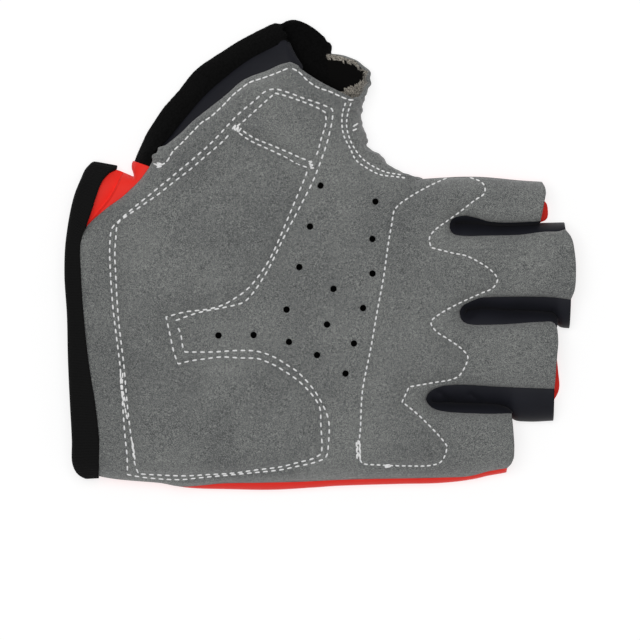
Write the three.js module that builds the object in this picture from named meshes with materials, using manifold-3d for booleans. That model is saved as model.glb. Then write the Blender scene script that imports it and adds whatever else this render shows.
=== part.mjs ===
// A fingerless cycling glove for the left hand, lying on its back with the palm up.
// Millimetres. X runs from the wrist to the fingertips, Y from the little finger to the thumb, Z up out of the
// palm.
import * as THREE from 'three';
import { mergeVertices } from 'three/addons/utils/BufferGeometryUtils.js';
import Module from 'manifold-3d';

const wasm = await Module();
wasm.setup();

// Driving sizes of the lying glove
const palmLength = 129;
const palmWidth = 105;
const thumbReach = 54;
const fingerReach = { index: 31.5, middle: 41.5, ring: 35.5, little: 20.5 };
const palmHeight = 16;
const cuffHeight = 14;
const fingerHeight = 14.5;
const seamHeight = 7.5;
const thumbSeamHeight = 12;
const bandSeamHeight = 9;
const sideHeight = 4.2;

// Walls, pads and holes
const suedeWall = 1.4;
const stretchWall = 1.1;
const terryWall = 1.5;
const padThickness = 3.2;
const padRise = 1.3;
const ventDiameter = 2.2;
const bindingWidth = 6;
const bindingWall = 1;
const backPeek = 1.2;
const seamGap = 0.35;

// Where pieces meet: between edges that meet at an angle, below the suede's face beside its edge, at each side
// of the fold of a side wall, and for the tape to round the cuff's corners above the ground
const seatGap = 1.6 * seamGap;
const edgeDrop = 0.3;
const foldGap = 0.25;
const cuffRoom = 0.8;

// How far from an edge the cloth starts to roll over
const sideRoll = 9;
const thumbRoll = 8;
const slitRoll = 5;
const padSlope = 5;
const padFade = 8;

// How far below the middle the suede's edges lie
const rimDrop = 1.5;
const webDrop = 2.5;
const slitDrop = 4;

// Side walls: the flat cloth's margin that they take up, the wrap's widest height, and how far the index
// finger's side stands out of the suede's edge and its top edge is tucked in
const wallWidth = 5;
const wrapSideHeight = 6.6;
const indexBulge = 0.4;
const indexTuck = 0.2;

// Finger mouths: how far the corners lie behind the middle, and the side walls' ends behind the suede's
const mouthBow = 1.2;
const mouthInset = 1.5;

// Resolution of the cloth
const fingerStations = 5;
const suedeCells = { little: 4, ring: 4, middle: 4, index: 3, slit: 2 };
const backCells = { little: 2, ring: 2, middle: 2, index: 2, slit: 2 };
const wallCells = 4;
const thumbCells = 7;
const stripCells = 10;
const cuffLines = 4;
const rootBend = 6;

const cuffX = -(palmLength + fingerReach.middle) / 2;
const littleY = -(palmWidth + thumbReach) / 2;
const indexY = littleY + palmWidth;

const alongX = (share) => cuffX + share * palmLength;
const acrossY = (share) => littleY + share * palmWidth;
const riseY = (share) => indexY + share * thumbReach;
const mix = THREE.MathUtils.lerp;
const clamp = THREE.MathUtils.clamp;
const smooth = THREE.MathUtils.smoothstep;

// Edge of the suede along the little finger's side: share of palmLength, share of palmWidth
const suedeLowEdge = [
  { along: 0.05, across: 0.048 },
  { along: 0.19, across: 0.032 },
  { along: 0.3, across: 0.013 },
  { along: 0.41, across: 0.024 },
  { along: 0.61, across: 0.03 },
  { along: 0.82, across: 0.038 },
  { along: 0.97, across: 0.041 },
  { along: 1.08, across: 0.055 },
  { along: 1.17, across: 0.08 },
];

// Widest line of the red side wall, seen from above
const backLowEdge = [
  { along: 0.05, across: 0.04 },
  { along: 0.19, across: 0.028 },
  { along: 0.3, across: 0.01 },
  { along: 0.41, across: 0.001 },
  { along: 0.54, across: -0.002 },
  { along: 0.69, across: 0.01 },
  { along: 0.87, across: 0.017 },
  { along: 0.97, across: 0.02 },
  { along: 1.08, across: 0.037 },
  { along: 1.17, across: 0.062 },
];

// Index finger's side, from the thumb web to the mouth
const indexEdge = [
  { along: 0.91, across: 0.993 },
  { along: 0.99, across: 1 },
  { along: 1.09, across: 1.002 },
  { along: 1.18, across: 0.99 },
  { along: 1.25, across: 0.978 },
];

// Cuff edge of the cloth, inside the fold of the binding
const cuffEdge = [
  { across: 0.03, along: 0.044 },
  { across: 0.14, along: 0.029 },
  { across: 0.3, along: 0.023 },
  { across: 0.5, along: 0.017 },
  { across: 0.7, along: 0.011 },
  { across: 0.85, along: 0.021 },
  { across: 0.95, along: 0.038 },
  { across: 1.04, along: 0.065 },
];

// How much wider than bindingWidth the binding is along the cuff
const bindingFlare = [
  { across: 0, share: 1.5 },
  { across: 0.1, share: 1.55 },
  { across: 0.3, share: 1.4 },
  { across: 0.45, share: 1.15 },
  { across: 0.6, share: 0.95 },
  { across: 0.8, share: 0.9 },
  { across: 0.92, share: 0.95 },
  { across: 1.03, share: 0.98 },
];

// Lines across the suede from the little finger's side to the thumb's outline, from the cuff to the finger
// roots: low is the share of palmLength at the little finger's side, high and rise are the far end's shares of
// palmLength and thumbReach, and bow is the sag of the line towards the cuff as a share of palmLength
const suedeLines = [
  { low: 0.055, high: 0.03, rise: -0.31, bow: 0 },
  { low: 0.1, high: 0.08, rise: -0.25, bow: 0 },
  { low: 0.155, high: 0.125, rise: -0.165, bow: 0 },
  { low: 0.205, high: 0.178, rise: -0.06, bow: 0 },
  { low: 0.255, high: 0.222, rise: 0.08, bow: 0 },
  { low: 0.3, high: 0.243, rise: 0.185, bow: 0 },
  { low: 0.34, high: 0.29, rise: 0.245, bow: 0 },
  { low: 0.38, high: 0.34, rise: 0.36, bow: 0 },
  { low: 0.425, high: 0.398, rise: 0.48, bow: 0 },
  { low: 0.47, high: 0.455, rise: 0.585, bow: 0 },
  { low: 0.51, high: 0.517, rise: 0.65, bow: 0 },
  { low: 0.555, high: 0.582, rise: 0.708, bow: 0 },
  { low: 0.6, high: 0.625, rise: 0.645, bow: 0.008 },
  { low: 0.645, high: 0.682, rise: 0.562, bow: 0.02 },
  { low: 0.685, high: 0.747, rise: 0.48, bow: 0.03 },
  { low: 0.72, high: 0.738, rise: 0.35, bow: 0.012 },
  { low: 0.755, high: 0.75, rise: 0.215, bow: 0 },
  { low: 0.795, high: 0.786, rise: 0.108, bow: 0 },
  { low: 0.835, high: 0.842, rise: 0.043, bow: 0 },
  { low: 0.885, high: 0.915, rise: -0.012, bow: 0 },
  { low: 0.935, high: 0.995, rise: 0, bow: 0 },
];

// Gaps between the fingers: root is a share of palmLength, low and high are the suede's edges and fold the
// line where the two side walls meet, as shares of palmWidth
const slits = [
  { name: 'ring_little', root: 0.935, low: 0.248, high: 0.33, fold: 0.262 },
  { name: 'middle_ring', root: 1.02, low: 0.533, high: 0.616, fold: 0.58 },
  { name: 'index_middle', root: 0.99, low: 0.814, high: 0.863, fold: 0.848 },
];
const fingers = ['little', 'ring', 'middle', 'index'];
const slitShoulder = ({ root, low, high }) => alongX(root) + 0.5 * palmWidth * (high - low);

// Height of the suede's middle along the hand
const palmProfile = [
  { along: 0, height: cuffHeight },
  { along: 0.18, height: palmHeight },
  { along: 0.8, height: palmHeight },
  { along: 1.05, height: mix(palmHeight, fingerHeight, 0.6) },
  { along: 1.4, height: fingerHeight },
];

// Centres of the vent holes
const vents = [
  { along: 0.665, across: 0.972 },
  { along: 0.805, across: 0.921 },
  { along: 0.636, across: 0.842 },
  { along: 0.797, across: 0.802 },
  { along: 0.608, across: 0.713 },
  { along: 0.797, across: 0.692 },
  { along: 0.696, across: 0.643 },
  { along: 0.575, across: 0.578 },
  { along: 0.773, across: 0.582 },
  { along: 0.68, across: 0.53 },
  { along: 0.4, across: 0.495 },
  { along: 0.49, across: 0.497 },
  { along: 0.581, across: 0.475 },
  { along: 0.749, across: 0.47 },
  { along: 0.653, across: 0.433 },
  { along: 0.728, across: 0.374 },
];

// Outlines of the foam pads, as corners joined by straight or smooth stretches
const heelPadOutline = [
  [[0.193, 0.055], [0.17, 0.18], [0.15, 0.33], [0.135, 0.56], [0.132, 0.7], [0.135, 0.8], [0.16, 0.855]],
  [[0.16, 0.855], [0.25, 0.94], [0.33, 1], [0.39, 1.06], [0.43, 1.13]],
  [[0.43, 1.13], [0.62, 1.03]],
  [[0.62, 1.03], [0.58, 0.87], [0.54, 0.75], [0.48, 0.64], [0.41, 0.595], [0.27, 0.555]],
  [[0.27, 0.555], [0.29, 0.42]],
  [[0.29, 0.42], [0.4, 0.42], [0.5, 0.42], [0.6, 0.35], [0.66, 0.26], [0.665, 0.16], [0.655, 0.115]],
  [[0.655, 0.115], [0.55, 0.075], [0.42, 0.055], [0.193, 0.055]],
];
const thumbPadOutline = [
  [[0.462, 1.155], [0.5, 1.215], [0.545, 1.265]],
  [[0.545, 1.265], [0.6, 1.24], [0.675, 1.2]],
  [[0.675, 1.2], [0.67, 1.14], [0.64, 1.06]],
  [[0.64, 1.06], [0.56, 1.09], [0.462, 1.155]],
];
const knucklePadOutline = [
  [[0.77, 0.1], [0.785, 0.32], [0.83, 0.62], [0.86, 0.88]],
  [[0.86, 0.88], [0.92, 0.93], [1.04, 0.985]],
  [[1.04, 0.985], [1.075, 0.95], [1.04, 0.91], [0.955, 0.82]],
  [[0.955, 0.82], [0.96, 0.765], [1.05, 0.74], [1.105, 0.68]],
  [[1.105, 0.68], [1.05, 0.61], [0.95, 0.54]],
  [[0.95, 0.54], [0.99, 0.49], [1.035, 0.42], [1.01, 0.365]],
  [[1.01, 0.365], [0.9, 0.335], [0.88, 0.285]],
  [[0.88, 0.285], [0.93, 0.21], [0.965, 0.15], [0.945, 0.1]],
  [[0.945, 0.1], [0.77, 0.1]],
];

// Terry band round the outer side of the thumb: its top edge, its widest line and its edge underneath
const bandSections = [
  { top: [0.213, 0.11], side: [0.183, 0.1], foot: [0.27, 0.03], height: 0.95 },
  { top: [0.236, 0.2], side: [0.204, 0.245], foot: [0.32, 0.03], height: 1 },
  { top: [0.287, 0.281], side: [0.248, 0.417], foot: [0.375, 0.03], height: 1 },
  { top: [0.326, 0.407], side: [0.297, 0.552], foot: [0.435, 0.03], height: 1 },
  { top: [0.364, 0.515], side: [0.344, 0.682], foot: [0.5, 0.03], height: 1 },
  { top: [0.403, 0.614], side: [0.403, 0.778], foot: [0.57, 0.03], height: 1 },
  { top: [0.457, 0.728], side: [0.473, 0.886], foot: [0.64, 0.07], height: 1 },
  { top: [0.517, 0.781], side: [0.545, 0.957], foot: [0.677, 0.256], height: 1 },
  { top: [0.576, 0.836], side: [0.597, 0.985], foot: [0.687, 0.441], height: 0.95 },
  { top: [0.618, 0.824], side: [0.643, 0.932], foot: [0.685, 0.596], height: 0.85 },
  { top: [0.655, 0.8], side: [0.681, 0.84], foot: [0.677, 0.76], height: 0.7 },
];

// Suede gusset between thumb and index finger: its top edge, its widest line, where it reaches the ground and
// its edge underneath, with crest and base the heights of those two edges as shares of palmHeight
const gussetSections = [
  { top: [0.754, 0.482], side: [0.797, 0.61], low: [0.778, 0.7], foot: [0.688, 0.78], crest: 0.84, base: 0 },
  { top: [0.749, 0.41], side: [0.776, 0.46], low: [0.765, 0.5], foot: [0.694, 0.59], crest: 0.84, base: 0 },
  { top: [0.744, 0.34], side: [0.768, 0.345], low: [0.752, 0.36], foot: [0.693, 0.4], crest: 0.84, base: 0 },
  { top: [0.751, 0.26], side: [0.779, 0.25], low: [0.76, 0.24], foot: [0.684, 0.23], crest: 0.84, base: 0 },
  { top: [0.767, 0.19], side: [0.79, 0.173], low: [0.76, 0.14], foot: [0.654, 0.075], crest: 0.8, base: 0 },
  { top: [0.792, 0.113], side: [0.817, 0.13], low: [0.8, 0.1], foot: [0.775, 0.055], crest: 0.75, base: 0.12 },
  { top: [0.84, 0.056], side: [0.857, 0.075], low: [0.85, 0.06], foot: [0.842, 0.04], crest: 0.62, base: 0.23 },
];

// Lines across the red back from the cuff to the finger roots: low and high are the ends of the part that lies
// flat and rise the place of its high end
const backLines = [
  { low: 0.045, high: 0.06, rise: -0.07 },
  { low: 0.1, high: 0.095, rise: -0.08 },
  { low: 0.15, high: 0.135, rise: -0.09 },
  { low: 0.205, high: 0.178, rise: -0.09 },
  { low: 0.26, high: 0.215, rise: 0.01 },
  { low: 0.34, high: 0.34, rise: 0.02 },
  { low: 0.425, high: 0.43, rise: 0.02 },
  { low: 0.51, high: 0.52, rise: 0.02 },
  { low: 0.6, high: 0.6, rise: 0.02 },
  { low: 0.685, high: 0.68, rise: 0.02 },
  { low: 0.755, high: 0.765, rise: 0.005 },
  { low: 0.835, high: 0.842, rise: -0.07 },
  { low: 0.885, high: 0.915, rise: -0.1 },
  { low: 0.935, high: 0.995, rise: -0.1 },
];
const wrapLast = 4;
const webStart = 10;

// Wrap of the red cloth at the wrist, below the thumb: its widest line for each of the first backLines
const wrapSide = [
  { along: 0.064, rise: 0.05 },
  { along: 0.095, rise: 0.055 },
  { along: 0.14, rise: 0.035 },
  { along: 0.176, rise: 0.006 },
  { along: 0.18, rise: 0.062 },
];

// Red side wall where it climbs from the thumb web to the index finger: its widest line and its top edge,
// with heights as shares of seamHeight
const webWall = [
  { along: 0.775, side: 0.03, sideHeight: 0.06, top: 0.04, topHeight: 0.14 },
  { along: 0.842, side: 0.035, sideHeight: 0.2, top: 0.03, topHeight: 0.4 },
  { along: 0.915, side: 0.002, sideHeight: 0.5, top: -0.012, topHeight: 0.8 },
];

// Curve through table points, as a function of the first coordinate
function valueAt(table, key, value, x) {
  let k = 0;
  while (k < table.length - 2 && x > table[k + 1][key]) k += 1;
  const a = table[Math.max(k - 1, 0)][value];
  const b = table[k][value];
  const c = table[k + 1][value];
  const d = table[Math.min(k + 2, table.length - 1)][value];
  const t = clamp((x - table[k][key]) / (table[k + 1][key] - table[k][key]), -0.5, 1.5);
  return b + 0.5 * t * (c - a + t * (2 * a - 5 * b + 4 * c - d + t * (3 * (b - c) + d - a)));
}

const suedeLowY = (x) => acrossY(valueAt(suedeLowEdge, 'along', 'across', (x - cuffX) / palmLength));
const backLowY = (x) => acrossY(valueAt(backLowEdge, 'along', 'across', (x - cuffX) / palmLength));
const indexSideY = (x) => acrossY(valueAt(indexEdge, 'along', 'across', (x - cuffX) / palmLength));
const cuffLineX = (y) => alongX(valueAt(cuffEdge, 'across', 'along', (y - littleY) / palmWidth));

// Shortest distance from a point to a line of points
function distanceTo(line, x, y) {
  let nearest = Infinity;
  for (let k = 0; k < line.length - 1; k += 1) {
    const [ax, ay] = line[k];
    const [bx, by] = line[k + 1];
    const lengthSquared = (bx - ax) ** 2 + (by - ay) ** 2;
    const t = clamp(((x - ax) * (bx - ax) + (y - ay) * (by - ay)) / lengthSquared, 0, 1);
    nearest = Math.min(nearest, Math.hypot(x - mix(ax, bx, t), y - mix(ay, by, t)));
  }
  return nearest;
}

function isInside(outline, x, y) {
  let inside = false;
  for (let k = 0; k < outline.length; k += 1) {
    const [ax, ay] = outline[k];
    const [bx, by] = outline[(k + 1) % outline.length];
    if (ay > y !== by > y && x < ax + ((y - ay) / (by - ay)) * (bx - ax)) inside = !inside;
  }
  return inside;
}

// Outline of a pad from its stretches, each a smooth curve through its points
function padOutline(stretches) {
  const outline = [];
  for (const stretch of stretches) {
    const points = stretch.map(([along, across]) => new THREE.Vector2(alongX(along), acrossY(across)));
    const steps = points.length === 2 ? 1 : points.length * 2;
    const curve = new THREE.SplineCurve(points);
    for (let k = 0; k < steps; k += 1) {
      const point = curve.getPoint(k / steps);
      outline.push([point.x, point.y]);
    }
  }
  return outline;
}

const pads = {
  heel_pad: padOutline(heelPadOutline),
  thumb_pad: padOutline(thumbPadOutline),
  knuckle_pad: padOutline(knucklePadOutline),
};

// Grid of plan points over a panel. The first lines cross the palm and the last ones cross the fingers. Each
// finger has its own columns, and the columns of a slit have no cells beyond its root.
function planGrid({ lines, lowY, highY, slitEdges, reach, cellsAcross }) {
  const palmLast = lines.length - 1;
  const columns = [];
  fingers.forEach((finger, f) => {
    const cells = cellsAcross[finger];
    for (let k = 0; k <= cells; k += 1) columns.push({ finger, f, t: k / cells });
    if (f < slitEdges.length) {
      for (let k = 1; k < cellsAcross.slit; k += 1) columns.push({ slit: f, t: k / cellsAcross.slit });
    }
  });
  const rootX = (f) => alongX(slits[f].root);
  const edgeY = (column, x) => {
    if (column.slit !== undefined) {
      const { low, high } = slitEdges[column.slit];
      return mix(low, high, column.t);
    }
    const low = column.f === 0 ? lowY(x) : slitEdges[column.f - 1].high;
    const high = column.f === slitEdges.length ? highY(x) : slitEdges[column.f].low;
    return mix(low, high, column.t);
  };
  const rootLine = columns.map((column) => {
    if (column.slit !== undefined) return rootX(column.slit);
    const shoulder = (f) => rootX(f) + 0.5 * (slitEdges[f].high - slitEdges[f].low);
    const low = column.f === 0 ? lines[palmLast].lowX : shoulder(column.f - 1);
    const high = column.f === slitEdges.length ? lines[palmLast].highX : shoulder(column.f);
    return mix(low, high, column.t);
  });
  const shares = columns.map((column, j) => {
    const low = lowY(lines[palmLast].lowX);
    const high = lines[palmLast].highY;
    return (edgeY(column, rootLine[j]) - low) / (high - low);
  });
  const rows = lines.map((line, i) => columns.map((column, j) => {
    const share = shares[j];
    const y = mix(lowY(line.lowX), line.highY, share);
    const straight = mix(line.lowX, line.highX, share) - line.bow * 4 * share * (1 - share);
    const cuffOffset = cuffLineX(y) - mix(lines[0].lowX, lines[0].highX, share);
    const cuffPull = Math.max(0, 1 - i / cuffLines) * cuffOffset;
    const rootOffset = rootLine[j] - mix(lines[palmLast].lowX, lines[palmLast].highX, share);
    const rootPull = (i / palmLast) ** rootBend * rootOffset;
    return [straight + cuffPull + rootPull, y];
  }));
  for (let i = 1; i <= fingerStations; i += 1) {
    rows.push(columns.map((column, j) => {
      const finger = column.finger ?? fingers[column.slit];
      const bow = column.finger ? 4 * column.t * (1 - column.t) : 0;
      const mouth = alongX(1) + fingerReach[finger] + reach - mouthBow * (1 - bow);
      const x = mix(rootLine[j], mouth, i / fingerStations);
      return [x, edgeY(column, x)];
    }));
  }
  const hasCell = (i, j) => i < palmLast || (columns[j].finger && columns[j].finger === columns[j + 1].finger);
  return { rows, hasCell, palmLast };
}

// Normals of a grid of points, from the cells that are there
function gridNormals(points, hasCell) {
  const normals = points.map((row) => row.map(() => new THREE.Vector3()));
  for (let i = 0; i < points.length - 1; i += 1) {
    for (let j = 0; j < points[i].length - 1; j += 1) {
      if (!hasCell(i, j)) continue;
      const across = points[i + 1][j + 1].clone().sub(points[i][j]);
      const normal = across.cross(points[i][j + 1].clone().sub(points[i + 1][j]));
      for (const [a, b] of [[i, j], [i + 1, j], [i, j + 1], [i + 1, j + 1]]) normals[a][b].add(normal);
    }
  }
  normals.forEach((row) => row.forEach((normal) => normal.normalize()));
  return normals;
}

// Closed solid between an outer and an inner grid of points, with walls along every edge
function solidBetween(outer, inner, hasCell = () => true) {
  const rows = outer.length;
  const columns = outer[0].length;
  const positions = [...outer.flat(), ...inner.flat()].flatMap((point) => point.toArray());
  const outerAt = (i, j) => i * columns + j;
  const innerAt = (i, j) => rows * columns + i * columns + j;
  const present = (i, j) => i >= 0 && j >= 0 && i < rows - 1 && j < columns - 1 && hasCell(i, j);
  const index = [];
  const quad = (a, b, c, d) => index.push(a, b, c, a, c, d);
  for (let i = 0; i < rows - 1; i += 1) {
    for (let j = 0; j < columns - 1; j += 1) {
      if (!present(i, j)) continue;
      const corners = [[i, j], [i + 1, j], [i + 1, j + 1], [i, j + 1]];
      const neighbours = [[i, j - 1], [i + 1, j], [i, j + 1], [i - 1, j]];
      quad(...corners.map(([a, b]) => outerAt(a, b)));
      const [near, ahead, opposite, beside] = corners.map(([a, b]) => innerAt(a, b));
      quad(near, beside, opposite, ahead);
      neighbours.forEach(([a, b], side) => {
        if (present(a, b)) return;
        const from = corners[side];
        const to = corners[(side + 1) % 4];
        quad(outerAt(...to), outerAt(...from), innerAt(...from), innerAt(...to));
      });
    }
  }
  const geometry = new THREE.BufferGeometry();
  geometry.setAttribute('position', new THREE.Float32BufferAttribute(positions, 3));
  geometry.setIndex(index);
  return dropUnused(geometry);
}

// Leaves out the grid points that no cell uses
function dropUnused(geometry) {
  const flat = geometry.toNonIndexed();
  return mergeVertices(flat, 1e-5);
}

// Sheet of even thickness whose outer face runs through the points
function sheet(points, thickness, hasCell = () => true) {
  const normals = gridNormals(points, hasCell);
  const inner = points.map((row, i) => row.map((point, j) => (
    point.clone().addScaledVector(normals[i][j], -thickness))));
  return solidBetween(points, inner, hasCell);
}

function toSolid(geometry) {
  return new wasm.Manifold(new wasm.Mesh({
    numProp: 3,
    vertProperties: new Float32Array(geometry.attributes.position.array),
    triVerts: new Uint32Array(geometry.index.array),
  }));
}

function toGeometry(solid) {
  const mesh = solid.getMesh();
  const geometry = new THREE.BufferGeometry();
  geometry.setAttribute('position', new THREE.BufferAttribute(new Float32Array(mesh.vertProperties), 3));
  geometry.setIndex(new THREE.BufferAttribute(new Uint32Array(mesh.triVerts), 1));
  return geometry;
}

// Upright prism over an outline, as a cutting solid
function prism(outline, from, to) {
  const shape = new THREE.Shape(outline.map(([x, y]) => new THREE.Vector2(x, y)));
  const geometry = new THREE.ExtrudeGeometry(shape, { depth: to - from, bevelEnabled: false });
  geometry.translate(0, 0, from);
  geometry.deleteAttribute('normal');
  geometry.deleteAttribute('uv');
  return toSolid(mergeVertices(geometry, 1e-5));
}

const material = (color, roughness) => new THREE.MeshStandardMaterial({ color, roughness, metalness: 0 });
const materials = {
  suede: material(0x646665, 0.95),
  foam: material(0x55585a, 0.9),
  stretch_red: material(0xe8332b, 0.75),
  knit_black: material(0x181818, 0.95),
  terry_black: material(0x101010, 1),
  stretch_navy: material(0x1e1f26, 0.7),
  stretch_black: material(0x16161a, 0.7),
};

const glove = new THREE.Group();

function addPiece(name, geometry, pieceMaterial) {
  const mesh = new THREE.Mesh(geometry, pieceMaterial);
  mesh.name = name;
  glove.add(mesh);
}

// The suede palm in plan
const suedeLastLine = suedeLines.length - 1;
const suedePlan = planGrid({
  lines: suedeLines.map(({ low, high, rise, bow }) => ({
    lowX: alongX(low),
    highX: alongX(high),
    highY: riseY(rise),
    bow: bow * palmLength,
  })),
  lowY: suedeLowY,
  highY: indexSideY,
  slitEdges: slits.map(({ low, high }) => ({ low: acrossY(low), high: acrossY(high) })),
  reach: 0,
  cellsAcross: suedeCells,
});
const suedeTopColumn = suedePlan.rows[0].length - 1;
const topEdgeBetween = (from, to) => suedePlan.rows.slice(from, to + 1).map((row) => row[suedeTopColumn]);

// Where the suede's outline turns from one neighbour to the next, as places in suedeLines
const wristWrapLine = 4;
const thumbPeakLine = 11;
const webLine = 14;
const suedeOutline = [
  ...suedePlan.rows.map((row) => row[0]),
  ...suedePlan.rows[suedePlan.rows.length - 1].slice(1),
  ...suedePlan.rows.map((row) => row[suedeTopColumn]).reverse().slice(1),
  ...suedePlan.rows[0].slice(1, -1).reverse(),
];

// Lines over which the suede rolls down: foot is its height there and reach how far in the roll starts
const slitLine = (slit, side) => [
  [alongX(slit.root) + 2 * seamGap, acrossY(mix(slit.low, slit.high, 0.5))],
  [slitShoulder(slit), acrossY(slit[side])],
  [alongX(1) + fingerReach.middle, acrossY(slit[side])],
];
const rolls = [
  { line: suedePlan.rows.map((row) => row[0]), foot: seamHeight, reach: sideRoll },
  { line: topEdgeBetween(suedeLastLine - 1, suedePlan.rows.length - 1), foot: seamHeight, reach: sideRoll },
  { line: topEdgeBetween(0, wristWrapLine), foot: thumbSeamHeight, reach: slitRoll },
  { line: topEdgeBetween(wristWrapLine, thumbPeakLine), foot: thumbSeamHeight, reach: thumbRoll },
  { line: topEdgeBetween(thumbPeakLine, webLine), foot: palmHeight - rimDrop, reach: slitRoll },
  { line: topEdgeBetween(webLine, suedeLastLine - 2), foot: palmHeight - webDrop, reach: slitRoll },
  ...slits.flatMap((slit) => ['low', 'high'].map((side) => ({
    line: slitLine(slit, side),
    foot: fingerHeight - slitDrop,
    reach: slitRoll,
  }))),
];

// Height of the suede's outer face
function suedeHeight(x, y) {
  const middle = valueAt(palmProfile, 'along', 'height', (x - cuffX) / palmLength);
  let height = middle;
  for (const { line, foot, reach } of rolls) {
    const nearness = Math.max(0, 1 - distanceTo(line, x, y) / reach);
    const rolled = middle - (middle - foot) * (1 - Math.sqrt(1 - nearness ** 2));
    height = Math.min(height, rolled);
  }
  for (const outline of Object.values(pads)) {
    const depth = distanceTo(outline, x, y) * (isInside(outline, x, y) ? 1 : -1);
    const raised = smooth(depth, -0.2 * padSlope, 0.8 * padSlope);
    height += padRise * raised * smooth(distanceTo(suedeOutline, x, y), 0, padFade);
  }
  return height;
}

const suedeOuter = suedePlan.rows.map((row) => row.map(([x, y]) => new THREE.Vector3(x, y, suedeHeight(x, y))));
const suedeNormals = gridNormals(suedeOuter, suedePlan.hasCell);
const offsetSuede = (depth) => suedeOuter.map((row, i) => row.map((point, j) => (
  point.clone().addScaledVector(suedeNormals[i][j], -depth))));

function ventCutter({ along, across }) {
  const geometry = new THREE.CylinderGeometry(ventDiameter / 2, ventDiameter / 2, 2 * palmHeight, 8);
  geometry.rotateX(Math.PI / 2);
  geometry.translate(alongX(along), acrossY(across), palmHeight);
  geometry.deleteAttribute('normal');
  geometry.deleteAttribute('uv');
  return toSolid(mergeVertices(geometry, 1e-5));
}

function makePalmPanel() {
  let panel = toSolid(solidBetween(suedeOuter, offsetSuede(suedeWall), suedePlan.hasCell));
  for (const vent of vents) panel = panel.subtract(ventCutter(vent));
  return toGeometry(panel);
}
addPiece('palm_panel', makePalmPanel(), materials.suede);

// Foam pad that follows the underside of the suede inside its outline
function makePad(outline) {
  const lower = (rows, drop) => rows.map((row) => row.map((point) => point.clone().setZ(point.z - drop)));
  const top = lower(offsetSuede(suedeWall), seamGap);
  const bottom = lower(top, padThickness);
  const layer = toSolid(solidBetween(top, bottom, suedePlan.hasCell));
  return toGeometry(layer.intersect(prism(outline, 0, 2 * palmHeight)));
}
for (const [name, outline] of Object.entries(pads)) addPiece(name, makePad(outline), materials.foam);

// Smooth run of evenly spaced points through a few given ones
function smoothRun(points, cells) {
  return new THREE.CatmullRomCurve3(points, false, 'centripetal').getPoints(cells);
}

// Side wall in section, from its top edge round the widest point to where the cloth lies flat
function wallRun(top, side, flat, cells) {
  const corner = side.clone().lerp(flat, 0.35);
  corner.z = mix(flat.z, side.z, 0.25);
  return smoothRun([top, side, corner, flat], cells);
}

// The red back: the part on the ground, with a wall at the little finger's side all along and one at the other
// side at the wrist and from the thumb web to the index finger's mouth
const cuffLift = bindingWall + seamGap + suedeWall / 2 + cuffRoom - stretchWall / 2;
const liftAt = (x) => cuffLift * (1 - smooth(x, alongX(0.03), alongX(0.2)));
const wallTopHeight = seamHeight - 0.65 * suedeWall - seamGap;
const slitHalf = stretchWall + seamGap + foldGap;
const backPlan = planGrid({
  lines: backLines.map(({ low, high, rise }) => ({
    lowX: alongX(low),
    highX: alongX(high),
    highY: riseY(rise),
    bow: 0,
  })),
  lowY: (x) => backLowY(x) + wallWidth,
  highY: (x) => indexSideY(x) - wallWidth,
  slitEdges: slits.map(({ fold }) => ({ low: acrossY(fold) - slitHalf, high: acrossY(fold) + slitHalf })),
  reach: backPeek,
  cellsAcross: backCells,
});

function backWallHigh(i, flat) {
  if (i <= wrapLast) {
    const [x, y] = suedePlan.rows[i][suedeTopColumn];
    const side = new THREE.Vector3(alongX(wrapSide[i].along), riseY(wrapSide[i].rise), wrapSideHeight);
    const edge = new THREE.Vector3(x, y, suedeHeight(x, y) - edgeDrop);
    const away = side.clone().sub(edge).setZ(0).normalize();
    const top = edge.clone().addScaledVector(away, seatGap);
    const shoulder = top.clone().lerp(side, 0.6).setZ(mix(side.z, top.z, 0.75));
    const corner = side.clone().lerp(flat, 0.35).setZ(mix(flat.z, side.z, 0.2));
    return smoothRun([flat, corner, side, shoulder, top], wallCells);
  }
  const row = i - webStart;
  const wall = webWall[row] ?? { sideHeight: sideHeight / seamHeight, topHeight: wallTopHeight / seamHeight };
  const x = webWall[row] ? alongX(wall.along) : flat.x;
  const sideY = webWall[row] ? riseY(wall.side) : indexSideY(x) + indexBulge;
  const topY = webWall[row] ? riseY(wall.top) : indexSideY(x) - indexTuck;
  const side = new THREE.Vector3(x, sideY, wall.sideHeight * seamHeight);
  const top = new THREE.Vector3(x, topY, wall.topHeight * seamHeight);
  return wallRun(top, side, flat, wallCells).reverse();
}

function backRow(plan, i) {
  const onGround = plan.map(([x, y]) => new THREE.Vector3(x, y, liftAt(x)));
  const first = onGround[0];
  const lowSide = new THREE.Vector3(first.x, backLowY(first.x), sideHeight + 0.5 * first.z);
  const lowTop = new THREE.Vector3(first.x, suedeLowY(first.x) + seamGap, wallTopHeight);
  const low = wallRun(lowTop, lowSide, first, wallCells);
  const hasHighWall = i <= wrapLast || i >= webStart;
  const last = onGround[onGround.length - 1];
  const high = hasHighWall ? backWallHigh(i, last) : Array(wallCells + 1).fill(last);
  return [...low.slice(0, -1), ...onGround, ...high.slice(1)];
}

const backOuter = backPlan.rows.map(backRow);
const backGroundLast = wallCells + backPlan.rows[0].length - 1;
function backHasCell(i, j) {
  if (j < wallCells) return true;
  if (j >= backGroundLast) return i < wrapLast || i >= webStart;
  return backPlan.hasCell(i, j - wallCells);
}

function makeBackPanel() {
  const facingDown = backOuter.map((row) => [...row].reverse());
  const hasCell = (i, j) => backHasCell(i, facingDown[0].length - 2 - j);
  return sheet(facingDown, stretchWall, hasCell);
}
addPiece('back_panel', makeBackPanel(), materials.stretch_red);

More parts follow.
